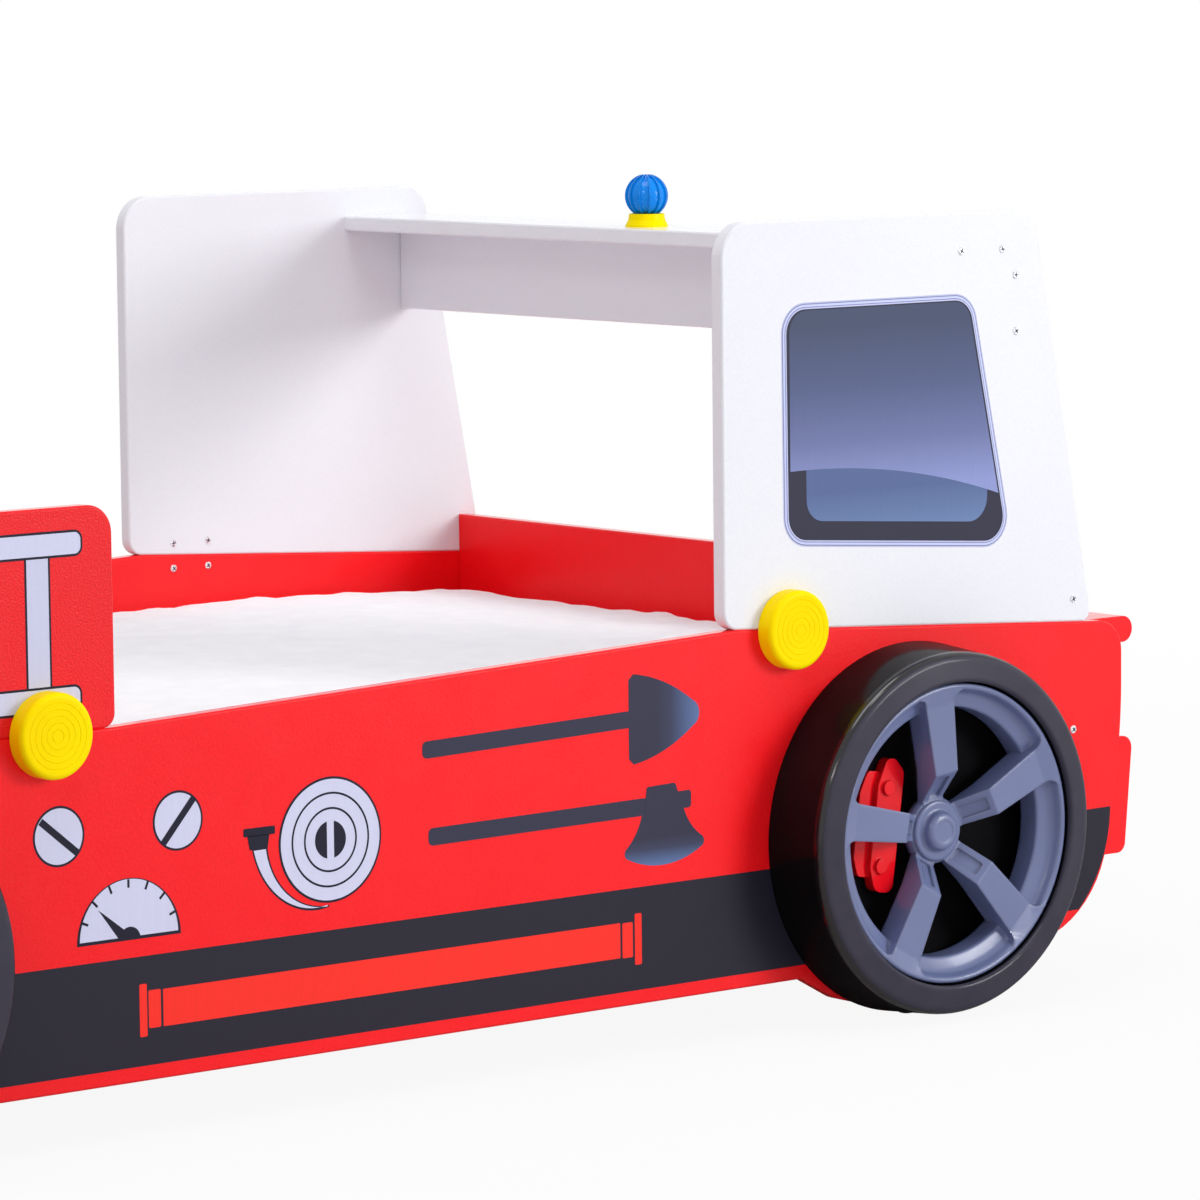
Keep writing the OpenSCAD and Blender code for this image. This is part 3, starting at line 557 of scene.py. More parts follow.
# %% Drawing helpers
FILM_STEP = 0.0001
FILM_ROOT = 0.00005
CIRCLE_STEPS = 72


def on_circle(centre, radius, angle):
    return centre[0] + radius * math.cos(angle), centre[1] + radius * math.sin(angle)


def circle(centre, radius):
    return [on_circle(centre, radius, 2 * math.pi * k / CIRCLE_STEPS) for k in range(CIRCLE_STEPS)]


def swept_arc(centre, radius, start, end, steps=24, end_radius=None):
    """Points of an arc in degrees, whose radius may change evenly on the way."""
    last = radius if end_radius is None else end_radius
    points = []
    for k in range(steps + 1):
        share = k / steps
        angle = math.radians(start + (end - start) * share)
        points.append(on_circle(centre, radius + (last - radius) * share, angle))
    return points


def arc_through(first, middle, last, steps=14):
    """Points of the circular arc that runs from first through middle to last."""
    (ax, ay), (bx, by), (cx, cy) = first, middle, last
    d = 2 * (ax * (by - cy) + bx * (cy - ay) + cx * (ay - by))
    ux = ((ax**2 + ay**2) * (by - cy) + (bx**2 + by**2) * (cy - ay) + (cx**2 + cy**2) * (ay - by)) / d
    uy = ((ax**2 + ay**2) * (cx - bx) + (bx**2 + by**2) * (ax - cx) + (cx**2 + cy**2) * (bx - ax)) / d
    radius = math.hypot(ax - ux, ay - uy)
    start, through, end = (math.atan2(y - uy, x - ux) for x, y in (first, middle, last))
    turn_to_middle = (through - start) % (2 * math.pi)
    turn_to_end = (end - start) % (2 * math.pi)
    if turn_to_middle > turn_to_end:
        turn_to_end -= 2 * math.pi
    return [on_circle((ux, uy), radius, start + turn_to_end * k / steps) for k in range(steps + 1)]


def walk(corners):
    """Each (x, z, radius) corner, with its directions to the last corner and to the next."""
    for k, corner in enumerate(corners):
        here = Vector(corner[:2])
        sides = (corners[k - 1], corners[(k + 1) % len(corners)])
        to_last, to_next = ((Vector(other[:2]) - here).normalized() for other in sides)
        yield corner, here, to_last, to_next


def rounded(corners, steps=8):
    """A closed outline from (x, z, radius) corners."""
    points = []
    for (x, z, radius), here, to_last, to_next in walk(corners):
        if radius == 0:
            points.append((x, z))
            continue
        half = math.acos(max(-1, min(1, to_last.dot(to_next)))) / 2
        centre = here + (to_last + to_next).normalized() * (radius / math.sin(half))
        start = here + to_last * (radius / math.tan(half)) - centre
        end = here + to_next * (radius / math.tan(half)) - centre
        sweep = start.angle_signed(end)
        for step in range(steps + 1):
            spoke = start.copy()
            spoke.rotate(Matrix.Rotation(-sweep * step / steps, 2))
            points.append(tuple(centre + spoke))
    return points


def inset(corners, distance):
    """The same rounded corners, moved inwards. The corners run anticlockwise."""
    moved = []
    for (_, _, radius), here, to_last, after in walk(corners):
        before = -to_last
        n1, n2 = Vector((-before.y, before.x)), Vector((-after.y, after.x))
        place = here + (n1 + n2) * (distance / (1 + n1.dot(n2)))
        bend = before.x * after.y - before.y * after.x
        moved.append((place.x, place.y, max(radius - math.copysign(distance, bend), 0.01) if radius else 0))
    return moved


def box_corners(x0, x1, z0, z1, radius=0):
    return [(x0, z0, radius), (x1, z0, radius), (x1, z1, radius), (x0, z1, radius)]


def strip(start, end, width):
    """A straight bar of some width between two points."""
    along = (Vector(end) - Vector(start)).normalized()
    side = Vector((-along.y, along.x)) * width / 2
    a, b = Vector(start), Vector(end)
    return [tuple(a - side), tuple(b - side), tuple(b + side), tuple(a + side)]


print("one film step is", FILM_STEP * 1000, "mm")

# %% [markdown]
# A slab is made by letting a flat curve fill its outlines, holes and all, and by giving it thickness.
# The result is a plain mesh. All slabs of one drawing are joined into one piece, mirrored for the left side.

# %% Printing
OUTER_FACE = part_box("side_panel_right")[0].y


def real_mesh(holder):
    """The mesh that an object's curve or modifiers give."""
    graph = bpy.context.evaluated_depsgraph_get()
    return bpy.data.meshes.new_from_object(holder.evaluated_get(graph), depsgraph=graph)


def slab(outlines, level):
    """A closed thin slab, in metres, whose lower face is sunk into the board a little."""
    height = FILM_STEP * level + FILM_ROOT
    curve = bpy.data.curves.new("outline", "CURVE")
    configure(curve, dimensions="2D", fill_mode="BOTH", extrude=height / 2)
    for outline in outlines:
        spline = curve.splines.new("POLY")
        spline.points.add(len(outline) - 1)
        for point, (x, z) in zip(spline.points, outline):
            point.co = (x * MM, z * MM, 0, 1)
        spline.use_cyclic_u = True
    holder = add_object("outline", curve)
    mesh = real_mesh(holder)
    bpy.data.objects.remove(holder)
    bpy.data.curves.remove(curve)
    mesh.transform(Matrix.Translation((0, 0, height / 2 - FILM_ROOT)))
    return mesh


def print_on(name, shapes, side):
    """Joins the slabs of one drawing. A shape is (outlines, level, ink). Side is -1 right, 1 left."""
    joined = bmesh.new()
    inks = list(dict.fromkeys(ink for _, _, ink in shapes))
    for outlines, level, ink in shapes:
        mesh = slab(outlines, level)
        first = len(joined.faces)
        joined.from_mesh(mesh)
        bpy.data.meshes.remove(mesh)
        joined.faces.ensure_lookup_table()
        for polygon in joined.faces[first:]:
            polygon.material_index = inks.index(ink)
    bmesh.ops.remove_doubles(joined, verts=joined.verts, dist=1e-6)
    for vertex in joined.verts:
        x, z, height = vertex.co
        vertex.co = (x, side * (abs(OUTER_FACE) + height), z)
    bmesh.ops.recalc_face_normals(joined, faces=joined.faces)
    mesh = finished(joined, name)
    for ink in inks:
        mesh.materials.append(ink)
    piece = add_object(name, mesh)
    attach(piece, "bed_frame")
    return piece


SIDES = {"right": -1, "left": 1}


def print_both(name, shapes):
    pieces = [print_on(f"{name}_{side}", shapes, sign) for side, sign in SIDES.items()]
    print(name, "has", len(pieces[0].data.polygons), "faces a side")


print("prints lie on the faces at Y =", round(OUTER_FACE, 4), "and its mirror")

# %% [markdown]
# The inks are satin, and the printing head leaves faint upright lines in them. A plain ink has one colour.
# The glass and the tools are printed with a soft change of colour, up the board or along it.

# %% Inks
LINE_SHADE = 0.06
LINE_COLOUR = (0.02, 0.02, 0.03)


def make_ink(name, colour, axis=None, start=0.0, end=1.0, rough=0.42):
    """An ink of one colour, or of a ramp's stops from start to end along an axis, in metres."""
    finish = Finish(name, {"Specular IOR Level": 0.2})
    lines = finish.cloud(420, 1.0, (1, 1, 0.04))
    speckle = finish.cloud(700, 1.0)
    if axis:
        share = finish.spread(finish.place().part(axis), start, end)
        colour = finish.add("ShaderNodeValToRGB", {"stops": colour}, {"Fac": share}, out="Color")
    shade = finish.spread(lines * 0.5 + speckle * 0.5, 0.3, 0.7, 0.0, LINE_SHADE)
    finish.blend(shade, colour, LINE_COLOUR)
    finish.wander(speckle, rough, 0.05)
    finish.bump(speckle, 0.03)
    return finish.material


charcoal = make_ink("charcoal_ink", tint(33, 31, 45))
outline_ink = make_ink("outline_ink", tint(19, 18, 40))
lavender = make_ink("lavender_ink", tint(211, 213, 239))
lavender_shade = make_ink("lavender_shade_ink", tint(206, 208, 234))
hose_red = make_ink("hose_red_ink", tint(255, 46, 34))
print("inks:", charcoal.name, lavender.name, lavender_shade.name, hose_red.name)

# %% [markdown]
# The ladder on the guard has two long rails with round ends, and rungs between them. Only its front end shows
# in the portrait, so the rungs go on at an even pitch to the tail, as on any ladder.

# %% Ladder
OUTLINE_MM = 2.0
LADDER_TAIL_X = -1002
RUNG_X = -226.5
RUNG_W = 25
RUNG_PITCH = 200


def outlined(corners, level=1, ink=lavender):
    """A dark slab, and a pale one inside it."""
    return [([rounded(corners)], level, outline_ink), ([rounded(inset(corners, OUTLINE_MM))], level + 1, ink)]


def ladder_shapes():
    shapes = []
    x = RUNG_X
    while x > LADDER_TAIL_X + RUNG_PITCH / 2:
        shapes += outlined(box_corners(x - RUNG_W / 2, x + RUNG_W / 2, 380, 498), ink=lavender_shade)
        x -= RUNG_PITCH
    shapes += outlined(box_corners(LADDER_TAIL_X, -182, 491.2, 513, 8), level=3)
    shapes += outlined(box_corners(LADDER_TAIL_X, -185, 364, 386, 8), level=3)
    return shapes


print_both("print_ladder", ladder_shapes())

# %% [markdown]
# Two slotted screw heads and a gauge are printed under the front end of the guard. The gauge's ticks stand
# at even angles.

# %% Gauge and screw heads
SCREW_R = 25.3
GAUGE_CENTRE = (-143, 168.3)
GAUGE_R = 52


def printed_screw(centre, slot_start, slot_end):
    return [([circle(centre, SCREW_R)], 1, outline_ink),
            ([circle(centre, SCREW_R - OUTLINE_MM)], 2, lavender),
            ([strip(slot_start, slot_end, 6.2)], 3, outline_ink)]


def gauge_shapes():
    cx, cz = GAUGE_CENTRE
    shapes = [([swept_arc(GAUGE_CENTRE, GAUGE_R, 0, 180, 48)], 1, outline_ink)]
    inner = swept_arc((cx, cz + OUTLINE_MM), GAUGE_R - 2 * OUTLINE_MM + 1.2, 1, 179, 48)
    shapes.append(([inner], 2, lavender))
    for k in range(1, 8):
        angle = math.radians(22.5 * k)
        near, far = (on_circle(GAUGE_CENTRE, r, angle) for r in (GAUGE_R - 8, GAUGE_R - 1))
        shapes.append(([strip(near, far, 2.2)], 3, outline_ink))
    needle = [(cx - 30.7, cz + 28.6), (cx - 10.3, cz + 1.6), (cx - 4, cz + 8.6)]
    shapes.append(([needle], 3, outline_ink))
    shapes.append(([swept_arc((cx + 0.6, cz + 0.6), 10.6, 0, 180, 20)], 4, outline_ink))
    return shapes


print_both("print_gauge", gauge_shapes()
           + printed_screw((-210.8, 261.9), (-228.6, 275.9), (-192.4, 246.2))
           + printed_screw((-92.1, 263.2), (-75.9, 280.6), (-107.4, 245.2)))

# %% [markdown]
# The hose reel is a set of rings round a split core. Its hose leaves the reel along a spiral,
# whose two edges come closer to the reel as they go round, and ends in a dark nozzle.

# %% Hose reel
REEL_CENTRE = (64.7, 231)
REEL_R = 54
REEL_RINGS = (40, 27)
REEL_CORE_R = 16.3
REEL_CORE_GAP = 3.7
REEL_LINE = 0.9


def hose_edge(radius, end_radius, start=180, end=268):
    return swept_arc(REEL_CENTRE, radius, start, end, 28, end_radius)


def reel_shapes():
    outer, inner = hose_edge(81.7, 57.4), hose_edge(65.6, 55.9)
    pale_outer, pale_inner = hose_edge(79.9, 55.8, 181, 266), hose_edge(67.4, 57.0, 181, 266)
    shapes = [([outer + inner[::-1]], 1, outline_ink), ([pale_outer + pale_inner[::-1]], 2, lavender)]
    shapes.append(([circle(REEL_CENTRE, REEL_R)], 3, outline_ink))
    for radius in REEL_RINGS:
        ring = [circle(REEL_CENTRE, radius + side) for side in (REEL_LINE, -REEL_LINE)]
        shapes.append((ring, 5, outline_ink))
    shapes.append(([circle(REEL_CENTRE, REEL_R - OUTLINE_MM)], 4, lavender))
    cx, cz = REEL_CENTRE
    half = math.degrees(math.acos(REEL_CORE_GAP / REEL_CORE_R))
    for middle in (180, 0):
        shapes.append(([swept_arc(REEL_CENTRE, REEL_CORE_R, middle - half, middle + half)], 5, outline_ink))
    shapes.append(([rounded(box_corners(cx - 90.2, cx - 57.7, cz + 11, cz + 18, 1.2))], 3, outline_ink))
    shapes.append(([rounded([(cx - 84, cz - 0.5, 0), (cx - 65.5, cz - 0.5, 0),
                             (cx - 63.5, cz + 11.5, 0), (cx - 86.3, cz + 11.5, 0)])], 3, outline_ink))
    return shapes


print_both("print_reel", reel_shapes())

# %% [markdown]
# The shovel and the axe are dark, and turn steel blue towards the shovel's tip and the axe's edge.
# The shovel is symmetric about its shaft, so only half of its blade is drawn.

# %% Shovel and axe
BLADE_DARK = tint(50, 50, 70)
BLADE_BLUE = tint(92, 116, 164)
shovel_ink = make_ink("shovel_ink", [(0, BLADE_DARK), (0.35, tint(58, 62, 88)), (1, BLADE_BLUE)],
                      "X", 0.425, 0.474)
axe_ink = make_ink("axe_ink", [(0, BLADE_BLUE), (0.6, tint(60, 64, 90)), (1, BLADE_DARK)],
                   "Z", 0.171, 0.196)
SHOVEL_AXIS_Z = 303.7


def shovel_shapes():
    upper = arc_through((399, 344), (440, 331.8), (467, 315.5))
    tip = arc_through((467, 315.5), (475, SHOVEL_AXIS_Z), (467, 2 * SHOVEL_AXIS_Z - 315.5), 8)
    lower = [(x, 2 * SHOVEL_AXIS_Z - z) for x, z in reversed(upper)]
    back = [(393.5, 2 * SHOVEL_AXIS_Z - 339), (393.5, 339)]
    shaft = rounded([(164, 290.3, 5), (396, 296.6, 0), (396, 311.6, 0), (164, 305.3, 5)])
    return [([upper + tip[1:] + lower[1:] + back], 1, shovel_ink), ([shaft], 2, shovel_ink)]


def axe_shapes():
    shaft = rounded([(169.5, 214.3, 5), (416, 216.8, 0), (416, 232.4, 0), (169.5, 229.6, 5)])
    cap = rounded([(411, 217, 0), (464.4, 219.3, 3), (464.6, 234.9, 3), (449.2, 234.6, 1),
                   (446.3, 242.9, 3), (413.2, 241.8, 3)])
    right = arc_through((455.5, 221), (463.5, 205), (477, 192.4))
    corner = arc_through((477, 192.4), (479.4, 188), (475.5, 182.4), 6)
    edge = arc_through((475.5, 182.4), (436, 170.6), (391, 179))
    heel = arc_through((391, 179), (387.6, 183), (389, 188), 6)
    left = arc_through((389, 188), (400.5, 201), (408.5, 221))
    blade = right + corner[1:] + edge[1:] + heel[1:] + left[1:]
    return [([shaft], 2, axe_ink), ([cap], 3, axe_ink), ([blade], 1, axe_ink)]


print_both("print_shovel", shovel_shapes())
print_both("print_axe", axe_shapes())

# %% [markdown]
# A dark band runs along the foot of the panel, behind both wheels and round the nose,
# and a red suction hose with its couplings is printed on it.

# %% Dark band and suction hose
BAND_TOP = 153.3
BAND_LOW = 61
BAND_TAIL_X = -1024
WHEEL_X = 1000 * (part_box("front_right_tyre")[0].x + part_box("front_right_tyre")[1].x) / 2


def band_shapes():
    long_part = rounded([(BAND_TAIL_X, BAND_LOW, 46), (WHEEL_X, BAND_LOW, 0),
                         (WHEEL_X, BAND_TOP, 0), (BAND_TAIL_X, BAND_TOP, 0)])
    under_nose = arc_through((983.6, 168), (972.5, 116), (942.4, 73.5), 16)
    nose_part = [(WHEEL_X, 73.5), (WHEEL_X, 166.5)] + under_nose
    shapes = [([long_part], 1, charcoal), ([nose_part[::-1]], 1, charcoal)]
    for x0, x1, z0, z1, radius in ((-134, -126.5, 85.5, 130, 1.5), (-124.9, -112.6, 92, 124, 1.5),
                                   (-110.2, 381.5, 92, 123.5, 1), (383.9, 395.8, 91.5, 123, 1.5),
                                   (398.2, 406, 84, 130, 1.5)):
        shapes.append(([rounded(box_corners(x0, x1, z0, z1, radius), 4)], 2, hose_red))
    return shapes


print_both("print_band", band_shapes())

# %% [markdown]
# The side window sits in a frame of thin lilac lines. Inside is a charcoal margin, and in it the glass,
# which pales downwards and ends in a long sweep, with a lighter pane below.

# %% Side window
WINDOW = [(576, 444.5, 28), (858, 424, 28), (808.3, 663.2, 28), (574, 663.3, 28)]
WINDOW_LINES = ((0.0, tint(190, 194, 226)), (1.2, tint(120, 124, 170)), (2.0, tint(204, 211, 248)),
                (4.0, tint(130, 135, 182)), (4.8, tint(200, 205, 240)), (6.0, tint(44, 44, 64)))
SWEEP_START = (584, 511.7)
SWEEP_END = (839, 476.3)
GLASS_TOP = 656
WINDSCREEN_LEAN = 50 / 239
GLASS_STOPS = [(0, tint(142, 152, 205)), (0.3, tint(109, 118, 164)), (0.62, tint(83, 94, 133)),
               (1, tint(66, 76, 104))]
PANE_STOPS = [(0, tint(107, 131, 176)), (1, tint(87, 105, 150))]
GLASS_ROUGH = 0.34
glass_ink = make_ink("glass_ink", GLASS_STOPS, "Z", 0.490, 0.640, GLASS_ROUGH)
pane_ink = make_ink("pane_ink", PANE_STOPS, "Z", 0.452, 0.490, GLASS_ROUGH)


def window_shapes():
    shapes = []
    for level, (distance, colour) in enumerate(WINDOW_LINES):
        ink = make_ink(f"window_line_ink_{level + 1}", colour)
        shapes.append(([rounded(inset(WINDOW, distance))], level + 1, ink))
    top = len(WINDOW_LINES)
    sweep = arc_through(SWEEP_START, (700, 506.5), SWEEP_END, 20)
    right_x = SWEEP_END[0] - (GLASS_TOP - SWEEP_END[1]) * WINDSCREEN_LEAN
    glass_top = rounded([(*SWEEP_END, 0), (right_x, GLASS_TOP, 20),
                         (583.5, GLASS_TOP, 20), (*SWEEP_START, 0)])
    pane = rounded([(603, 520, 0), (603.3, 466, 20), (824, 450.5, 22), (825.5, 490, 0)])
    shapes.append(([pane], top + 1, pane_ink))
    shapes.append(([glass_top[:-1] + sweep[:-1]], top + 2, glass_ink))
    return shapes


print_both("print_window", window_shapes())

# %% [markdown]
# A bed like this is held by dozens of screws whose heads are all alike. We draw one screw with its cross
# recess, put a point where each head sits on the solids, and let Geometry Nodes set a copy on every point,
# each turned a little differently, as an assembler leaves them.

# %% One screw
HEAD_R = 0.004
SHANK_R = 0.002
HEAD_H = 0.0012
HEAD_LEAN = 0.0002
HEAD_SLOPE = 0.0011
POINT_H = 0.002
POINT_TAPER = 0.6
SINK_DEPTH = 0.0009
SINK_TAPER = 0.8
CROSS_HALF_W = 0.0006
CROSS_REACH = 0.0024


def cross_radius(angle):
    """Distance from the axis to the edge of the cross recess."""
    a = abs((angle + math.pi / 4) % (math.pi / 2) - math.pi / 4)
    return min(CROSS_REACH / math.cos(a), CROSS_HALF_W / max(math.sin(a), 1e-6))


def make_screw(name, length):
    """A round-headed screw along -Z. The underside of its head lies at Z = 0."""
    corner = math.atan(CROSS_HALF_W / CROSS_REACH)
    between = (corner + math.pi / 4) / 2
    quarter = [0, corner, between, math.pi / 4, math.pi / 2 - between, math.pi / 2 - corner]
    angles = [a + k * math.pi / 2 for k in range(4) for a in quarter]
    profile = [(SHANK_R * POINT_TAPER, -length), (SHANK_R, -length + POINT_H), (SHANK_R, 0),
               (HEAD_R, 0), (HEAD_R - HEAD_LEAN, HEAD_H * 0.5), (HEAD_R - HEAD_SLOPE, HEAD_H)]
    outlines = [([radius] * len(angles), z) for radius, z in profile]
    outlines += [([share * cross_radius(a) for a in angles], z)
                 for share, z in ((1, HEAD_H), (SINK_TAPER, HEAD_H - SINK_DEPTH))]
    shape = bmesh.new()
    rings = [[shape.verts.new((r * math.cos(a), r * math.sin(a), z)) for r, a in zip(radii, angles)]
             for radii, z in outlines]
    for number, (low, high) in enumerate(zip(rings, rings[1:])):
        for k in range(len(angles)):
            after = (k + 1) % len(angles)
            wall = shape.faces.new((low[k], low[after], high[after], high[k]))
            wall.material_index = int(number >= len(profile))
    for ring, z, order in ((rings[0], -length, -1), (rings[-1], HEAD_H - SINK_DEPTH, 1)):
        middle = shape.verts.new((0, 0, z))
        for k in range(len(ring)):
            pair = (ring[k], ring[(k + 1) % len(ring)])[::order]
            shape.faces.new((middle, *pair)).material_index = int(order == 1)
    mesh = finished(shape, name)
    mesh.materials.append(finish_of_slot["steel"])
    # The recess faces take the dark steel, a painted shade.
    mesh.materials.append(recess_steel)
    return mesh


print("a screw has", len(make_screw("screw_trial", 0.03).polygons), "faces")

# %% [markdown]
# The places come from the solids themselves: each loose shell of a screw node is one screw, and the wider
# end of the shell is its head.

# %% Where the screws sit
def shells(mesh):
    """The point lists of a mesh's loose shells, in the same order in every run."""
    shape = merged(mesh)
    left = set(shape.verts)
    found = []
    for first in shape.verts:
        if first not in left:
            continue
        left.remove(first)
        stack = [first]
        shell = []
        while stack:
            vertex = stack.pop()
            shell.append(vertex.co.copy())
            for edge in vertex.link_edges:
                other = edge.other_vert(vertex)
                if other in left:
                    left.remove(other)
                    stack.append(other)
        found.append(shell)
    shape.free()
    return found


def screw_seat(points):
    """(seat, direction of the head, length of the shank) of one screw's shell."""
    low = Vector(min(p[a] for p in points) for a in range(3))
    high = Vector(max(p[a] for p in points) for a in range(3))
    axis = max(range(3), key=lambda a: high[a] - low[a])
    middle = (low + high) / 2
    wide = [p for p in points if (p - middle)[(axis + 1) % 3] > SHANK_R * 1.3]
    at_high = sum(p[axis] for p in wide) / len(wide) > middle[axis]
    direction = Vector((0, 0, 0))
    direction[axis] = 1 if at_high else -1
    seat = middle.copy()
    seat[axis] = high[axis] - HEAD_H if at_high else low[axis] + HEAD_H
    return seat, direction, high[axis] - low[axis] - HEAD_H


screw_nodes = [name for name in solids if name.endswith("_screws")]
seats = {name: [screw_seat(shell) for shell in shells(solids[name].data)] for name in screw_nodes}
print({name: len(found) for name, found in seats.items()})

# %% [markdown]
# The tree reads a facing direction from each point, turns the screw to it, and adds a random turn about the
# axis. Then it makes the copies real and sets their plating. Each recess keeps its own dark steel, a painted
# shade.

# %% Geometry Nodes for the screws
TREE_INPUTS = {"Screw": "NodeSocketObject", "Twist": "NodeSocketFloat", "Seed": "NodeSocketInt",
               "Plating": "NodeSocketMaterial"}


def screw_tree():
    """A node group that takes points and the inputs above, and gives the screws."""
    tree = bpy.data.node_groups.new("set_screws", "GeometryNodeTree")
    for way in ("INPUT", "OUTPUT"):
        tree.interface.new_socket("Geometry", in_out=way, socket_type="NodeSocketGeometry")
    for label, kind in TREE_INPUTS.items():
        tree.interface.new_socket(label, in_out="INPUT", socket_type=kind)
    given, result = tree.nodes.new("NodeGroupInput"), tree.nodes.new("NodeGroupOutput")
    group = Finish("set_screws", tree=tree)
    wires = [Wire(group, given.outputs[label]) for label in ("Geometry", *TREE_INPUTS)]
    points, screw, twist, seed, plating = wires
    facing = group.add("GeometryNodeInputNamedAttribute", {"data_type": "FLOAT_VECTOR"}, {"Name": "facing"},
                       "Attribute")
    align = group.add("FunctionNodeAlignRotationToVector", {"axis": "Z"}, {"Vector": facing})
    chance = group.add("FunctionNodeRandomValue", {"data_type": "FLOAT"}, {"Max_001": twist, "Seed": seed},
                       "Value_001")
    spin = group.add("ShaderNodeCombineXYZ", None, {"Z": chance})
    to_turn = group.add("FunctionNodeEulerToRotation", None, {0: spin})
    turned = group.add("FunctionNodeRotateRotation", {"rotation_space": "LOCAL"},
                       {"Rotation": align, "Rotate By": to_turn})
    shape = group.add("GeometryNodeObjectInfo", None, {"Object": screw}, "Geometry")
    seats_found = group.add("GeometryNodeMeshToPoints", None, {"Mesh": points})
    copies = group.add("GeometryNodeInstanceOnPoints", None,
                       {"Points": seats_found, "Instance": shape, "Rotation": turned})
    real = group.add("GeometryNodeRealizeInstances", None, {0: copies})
    outside = 1 - group.add("GeometryNodeInputMaterialIndex")
    plated = group.add("GeometryNodeSetMaterial", None,
                       {"Geometry": real, "Selection": outside, "Material": plating})
    group.plug(result.inputs[0], plated)
    return tree


def run_tree(name, mesh, tree, values):
    """Runs a tree on a mesh, with its inputs set by name, and returns the result as a plain mesh."""
    holder = add_object(name + "_points", mesh)
    modifier = holder.modifiers.new("nodes", "NODES")
    modifier.node_group = tree
    for item in tree.interface.items_tree:
        if item.in_out == "INPUT" and item.name in values:
            modifier[item.identifier] = values[item.name]
    made = real_mesh(holder)
    holder.modifiers.clear()
    bpy.data.objects.remove(holder)
    made.name = name
    return made


def seat_points(places):
    mesh = bpy.data.meshes.new("seats")
    mesh.from_pydata([place[0] for place in places], [], [])
    attribute = mesh.attributes.new("facing", "FLOAT_VECTOR", "POINT")
    for item, place in zip(attribute.data, places):
        item.vector = place[1]
    return mesh


SCREW_SEED = 7
SCREW_TWIST = math.pi / 2
set_screws = screw_tree()
for number, name in enumerate(sorted(screw_nodes)):
    places = seats[name]
    one = add_object("one_screw", make_screw("one_screw", places[0][2]))
    values = {"Screw": one, "Twist": SCREW_TWIST, "Seed": SCREW_SEED + number,
              "Plating": finish_of_slot["steel"]}
    made = run_tree("cross_" + name, seat_points(places), set_screws, values)
    bpy.data.objects.remove(one)
    piece = add_object("cross_" + name, made)
    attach(piece, "bed_frame")
    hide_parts(name)
    print(piece.name, "has", len(places), "screws and", len(made.polygons), "faces")

# %% [markdown]
# The mattress is soft, so no flat solid will do. We start from a copy of its solid, a little smaller, turn it
# into an even net of quads, and let a cloth simulation blow it up gently. Each point may only move a few
# millimetres. Then the net is made finer and drawn back to the solid's plan. The quilting is pressed into it,
# soft puffs and longer waves, and last the height is set so that the top lies as high against the boards as
# in the photograph.

# %% Mattress: the net
NET_SIZE = 0.016
SHRINK = 0.006
mattress_low, mattress_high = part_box("mattress")
mattress_middle = (mattress_low + mattress_high) / 2


def apply_modifiers(piece):
    """Makes what the modifiers show the piece's own mesh."""
    made = real_mesh(piece)
    piece.modifiers.clear()
    piece.data = made
    made.name = piece.name


def start_net():
    net = merged(solids["mattress"].data)
    size = mattress_high - mattress_low
    for vertex in net.verts:
        from_middle = vertex.co - mattress_middle
        vertex.co = mattress_middle + Vector(
            from_middle[a] * (1 - 2 * SHRINK / size[a]) for a in range(3))
    piece = add_object("mattress_quilted", finished(net, "mattress_quilted"))
    configure(piece.modifiers.new("net", "REMESH"), mode="VOXEL", voxel_size=NET_SIZE)
    apply_modifiers(piece)
    return piece


mattress_piece = start_net()
print("the net has", len(mattress_piece.data.polygons), "quads")

# %% Mattress: blown up by cloth
CLOTH_FRAMES = 20
CLOTH_PRESSURE = 4
SWELL_CAP = 0.007


def swell(piece):
    """Runs the cloth under pressure, and keeps each point within the cap of where it was."""
    before = [vertex.co.copy() for vertex in piece.data.vertices]
    cloth = piece.modifiers.new("swell", "CLOTH")
    configure(cloth.settings, quality=4, mass=0.3, use_pressure=True, uniform_pressure_force=CLOTH_PRESSURE)
    cloth.settings.effector_weights.gravity = 0
    cloth.collision_settings.use_collision = False
    configure(cloth.point_cache, frame_start=1, frame_end=CLOTH_FRAMES)
    for frame_number in range(1, CLOTH_FRAMES + 1):
        scene.frame_set(frame_number)
    graph = bpy.context.evaluated_depsgraph_get()
    after = [vertex.co.copy() for vertex in piece.evaluated_get(graph).data.vertices]
    piece.modifiers.clear()
    scene.frame_set(1)
    largest = 0.0
    for vertex, start, end in zip(piece.data.vertices, before, after):
        move = end - start
        largest = max(largest, move.length)
        if move.length > SWELL_CAP:
            move *= SWELL_CAP / move.length
        vertex.co = start + move
    return largest


print("the cloth moved up to", round(1000 * swell(mattress_piece), 1), "mm before the cap")

# %% Mattress: finer net and quilting
PUFF_MM = 1.1
PUFF_RATES = (34, 34, 20)
WAVE_MM = 2.2
WAVE_RATES = (11, 11, 8)
FLAT_UP_TO = 0.02
FLAT_FADE = 0.06
BORDER_PUFF_MM = 5.0
BORDER_WIDTH = 0.07
RIM_LIFT_MM = 12
RIM_REACH = 0.25
RIM_BEND = 2.5
NOSE_DIP_MM = 9
NOSE_DIP_REACH = 0.32
SIDE_ROOM = 0.0085
TOP_AT = 0.3248
FACES_UP = 0.95


def finer(piece):
    """One level of subdivision, made real."""
    configure(piece.modifiers.new("finer", "SUBSURF"), levels=1, render_levels=1)
    apply_modifiers(piece)


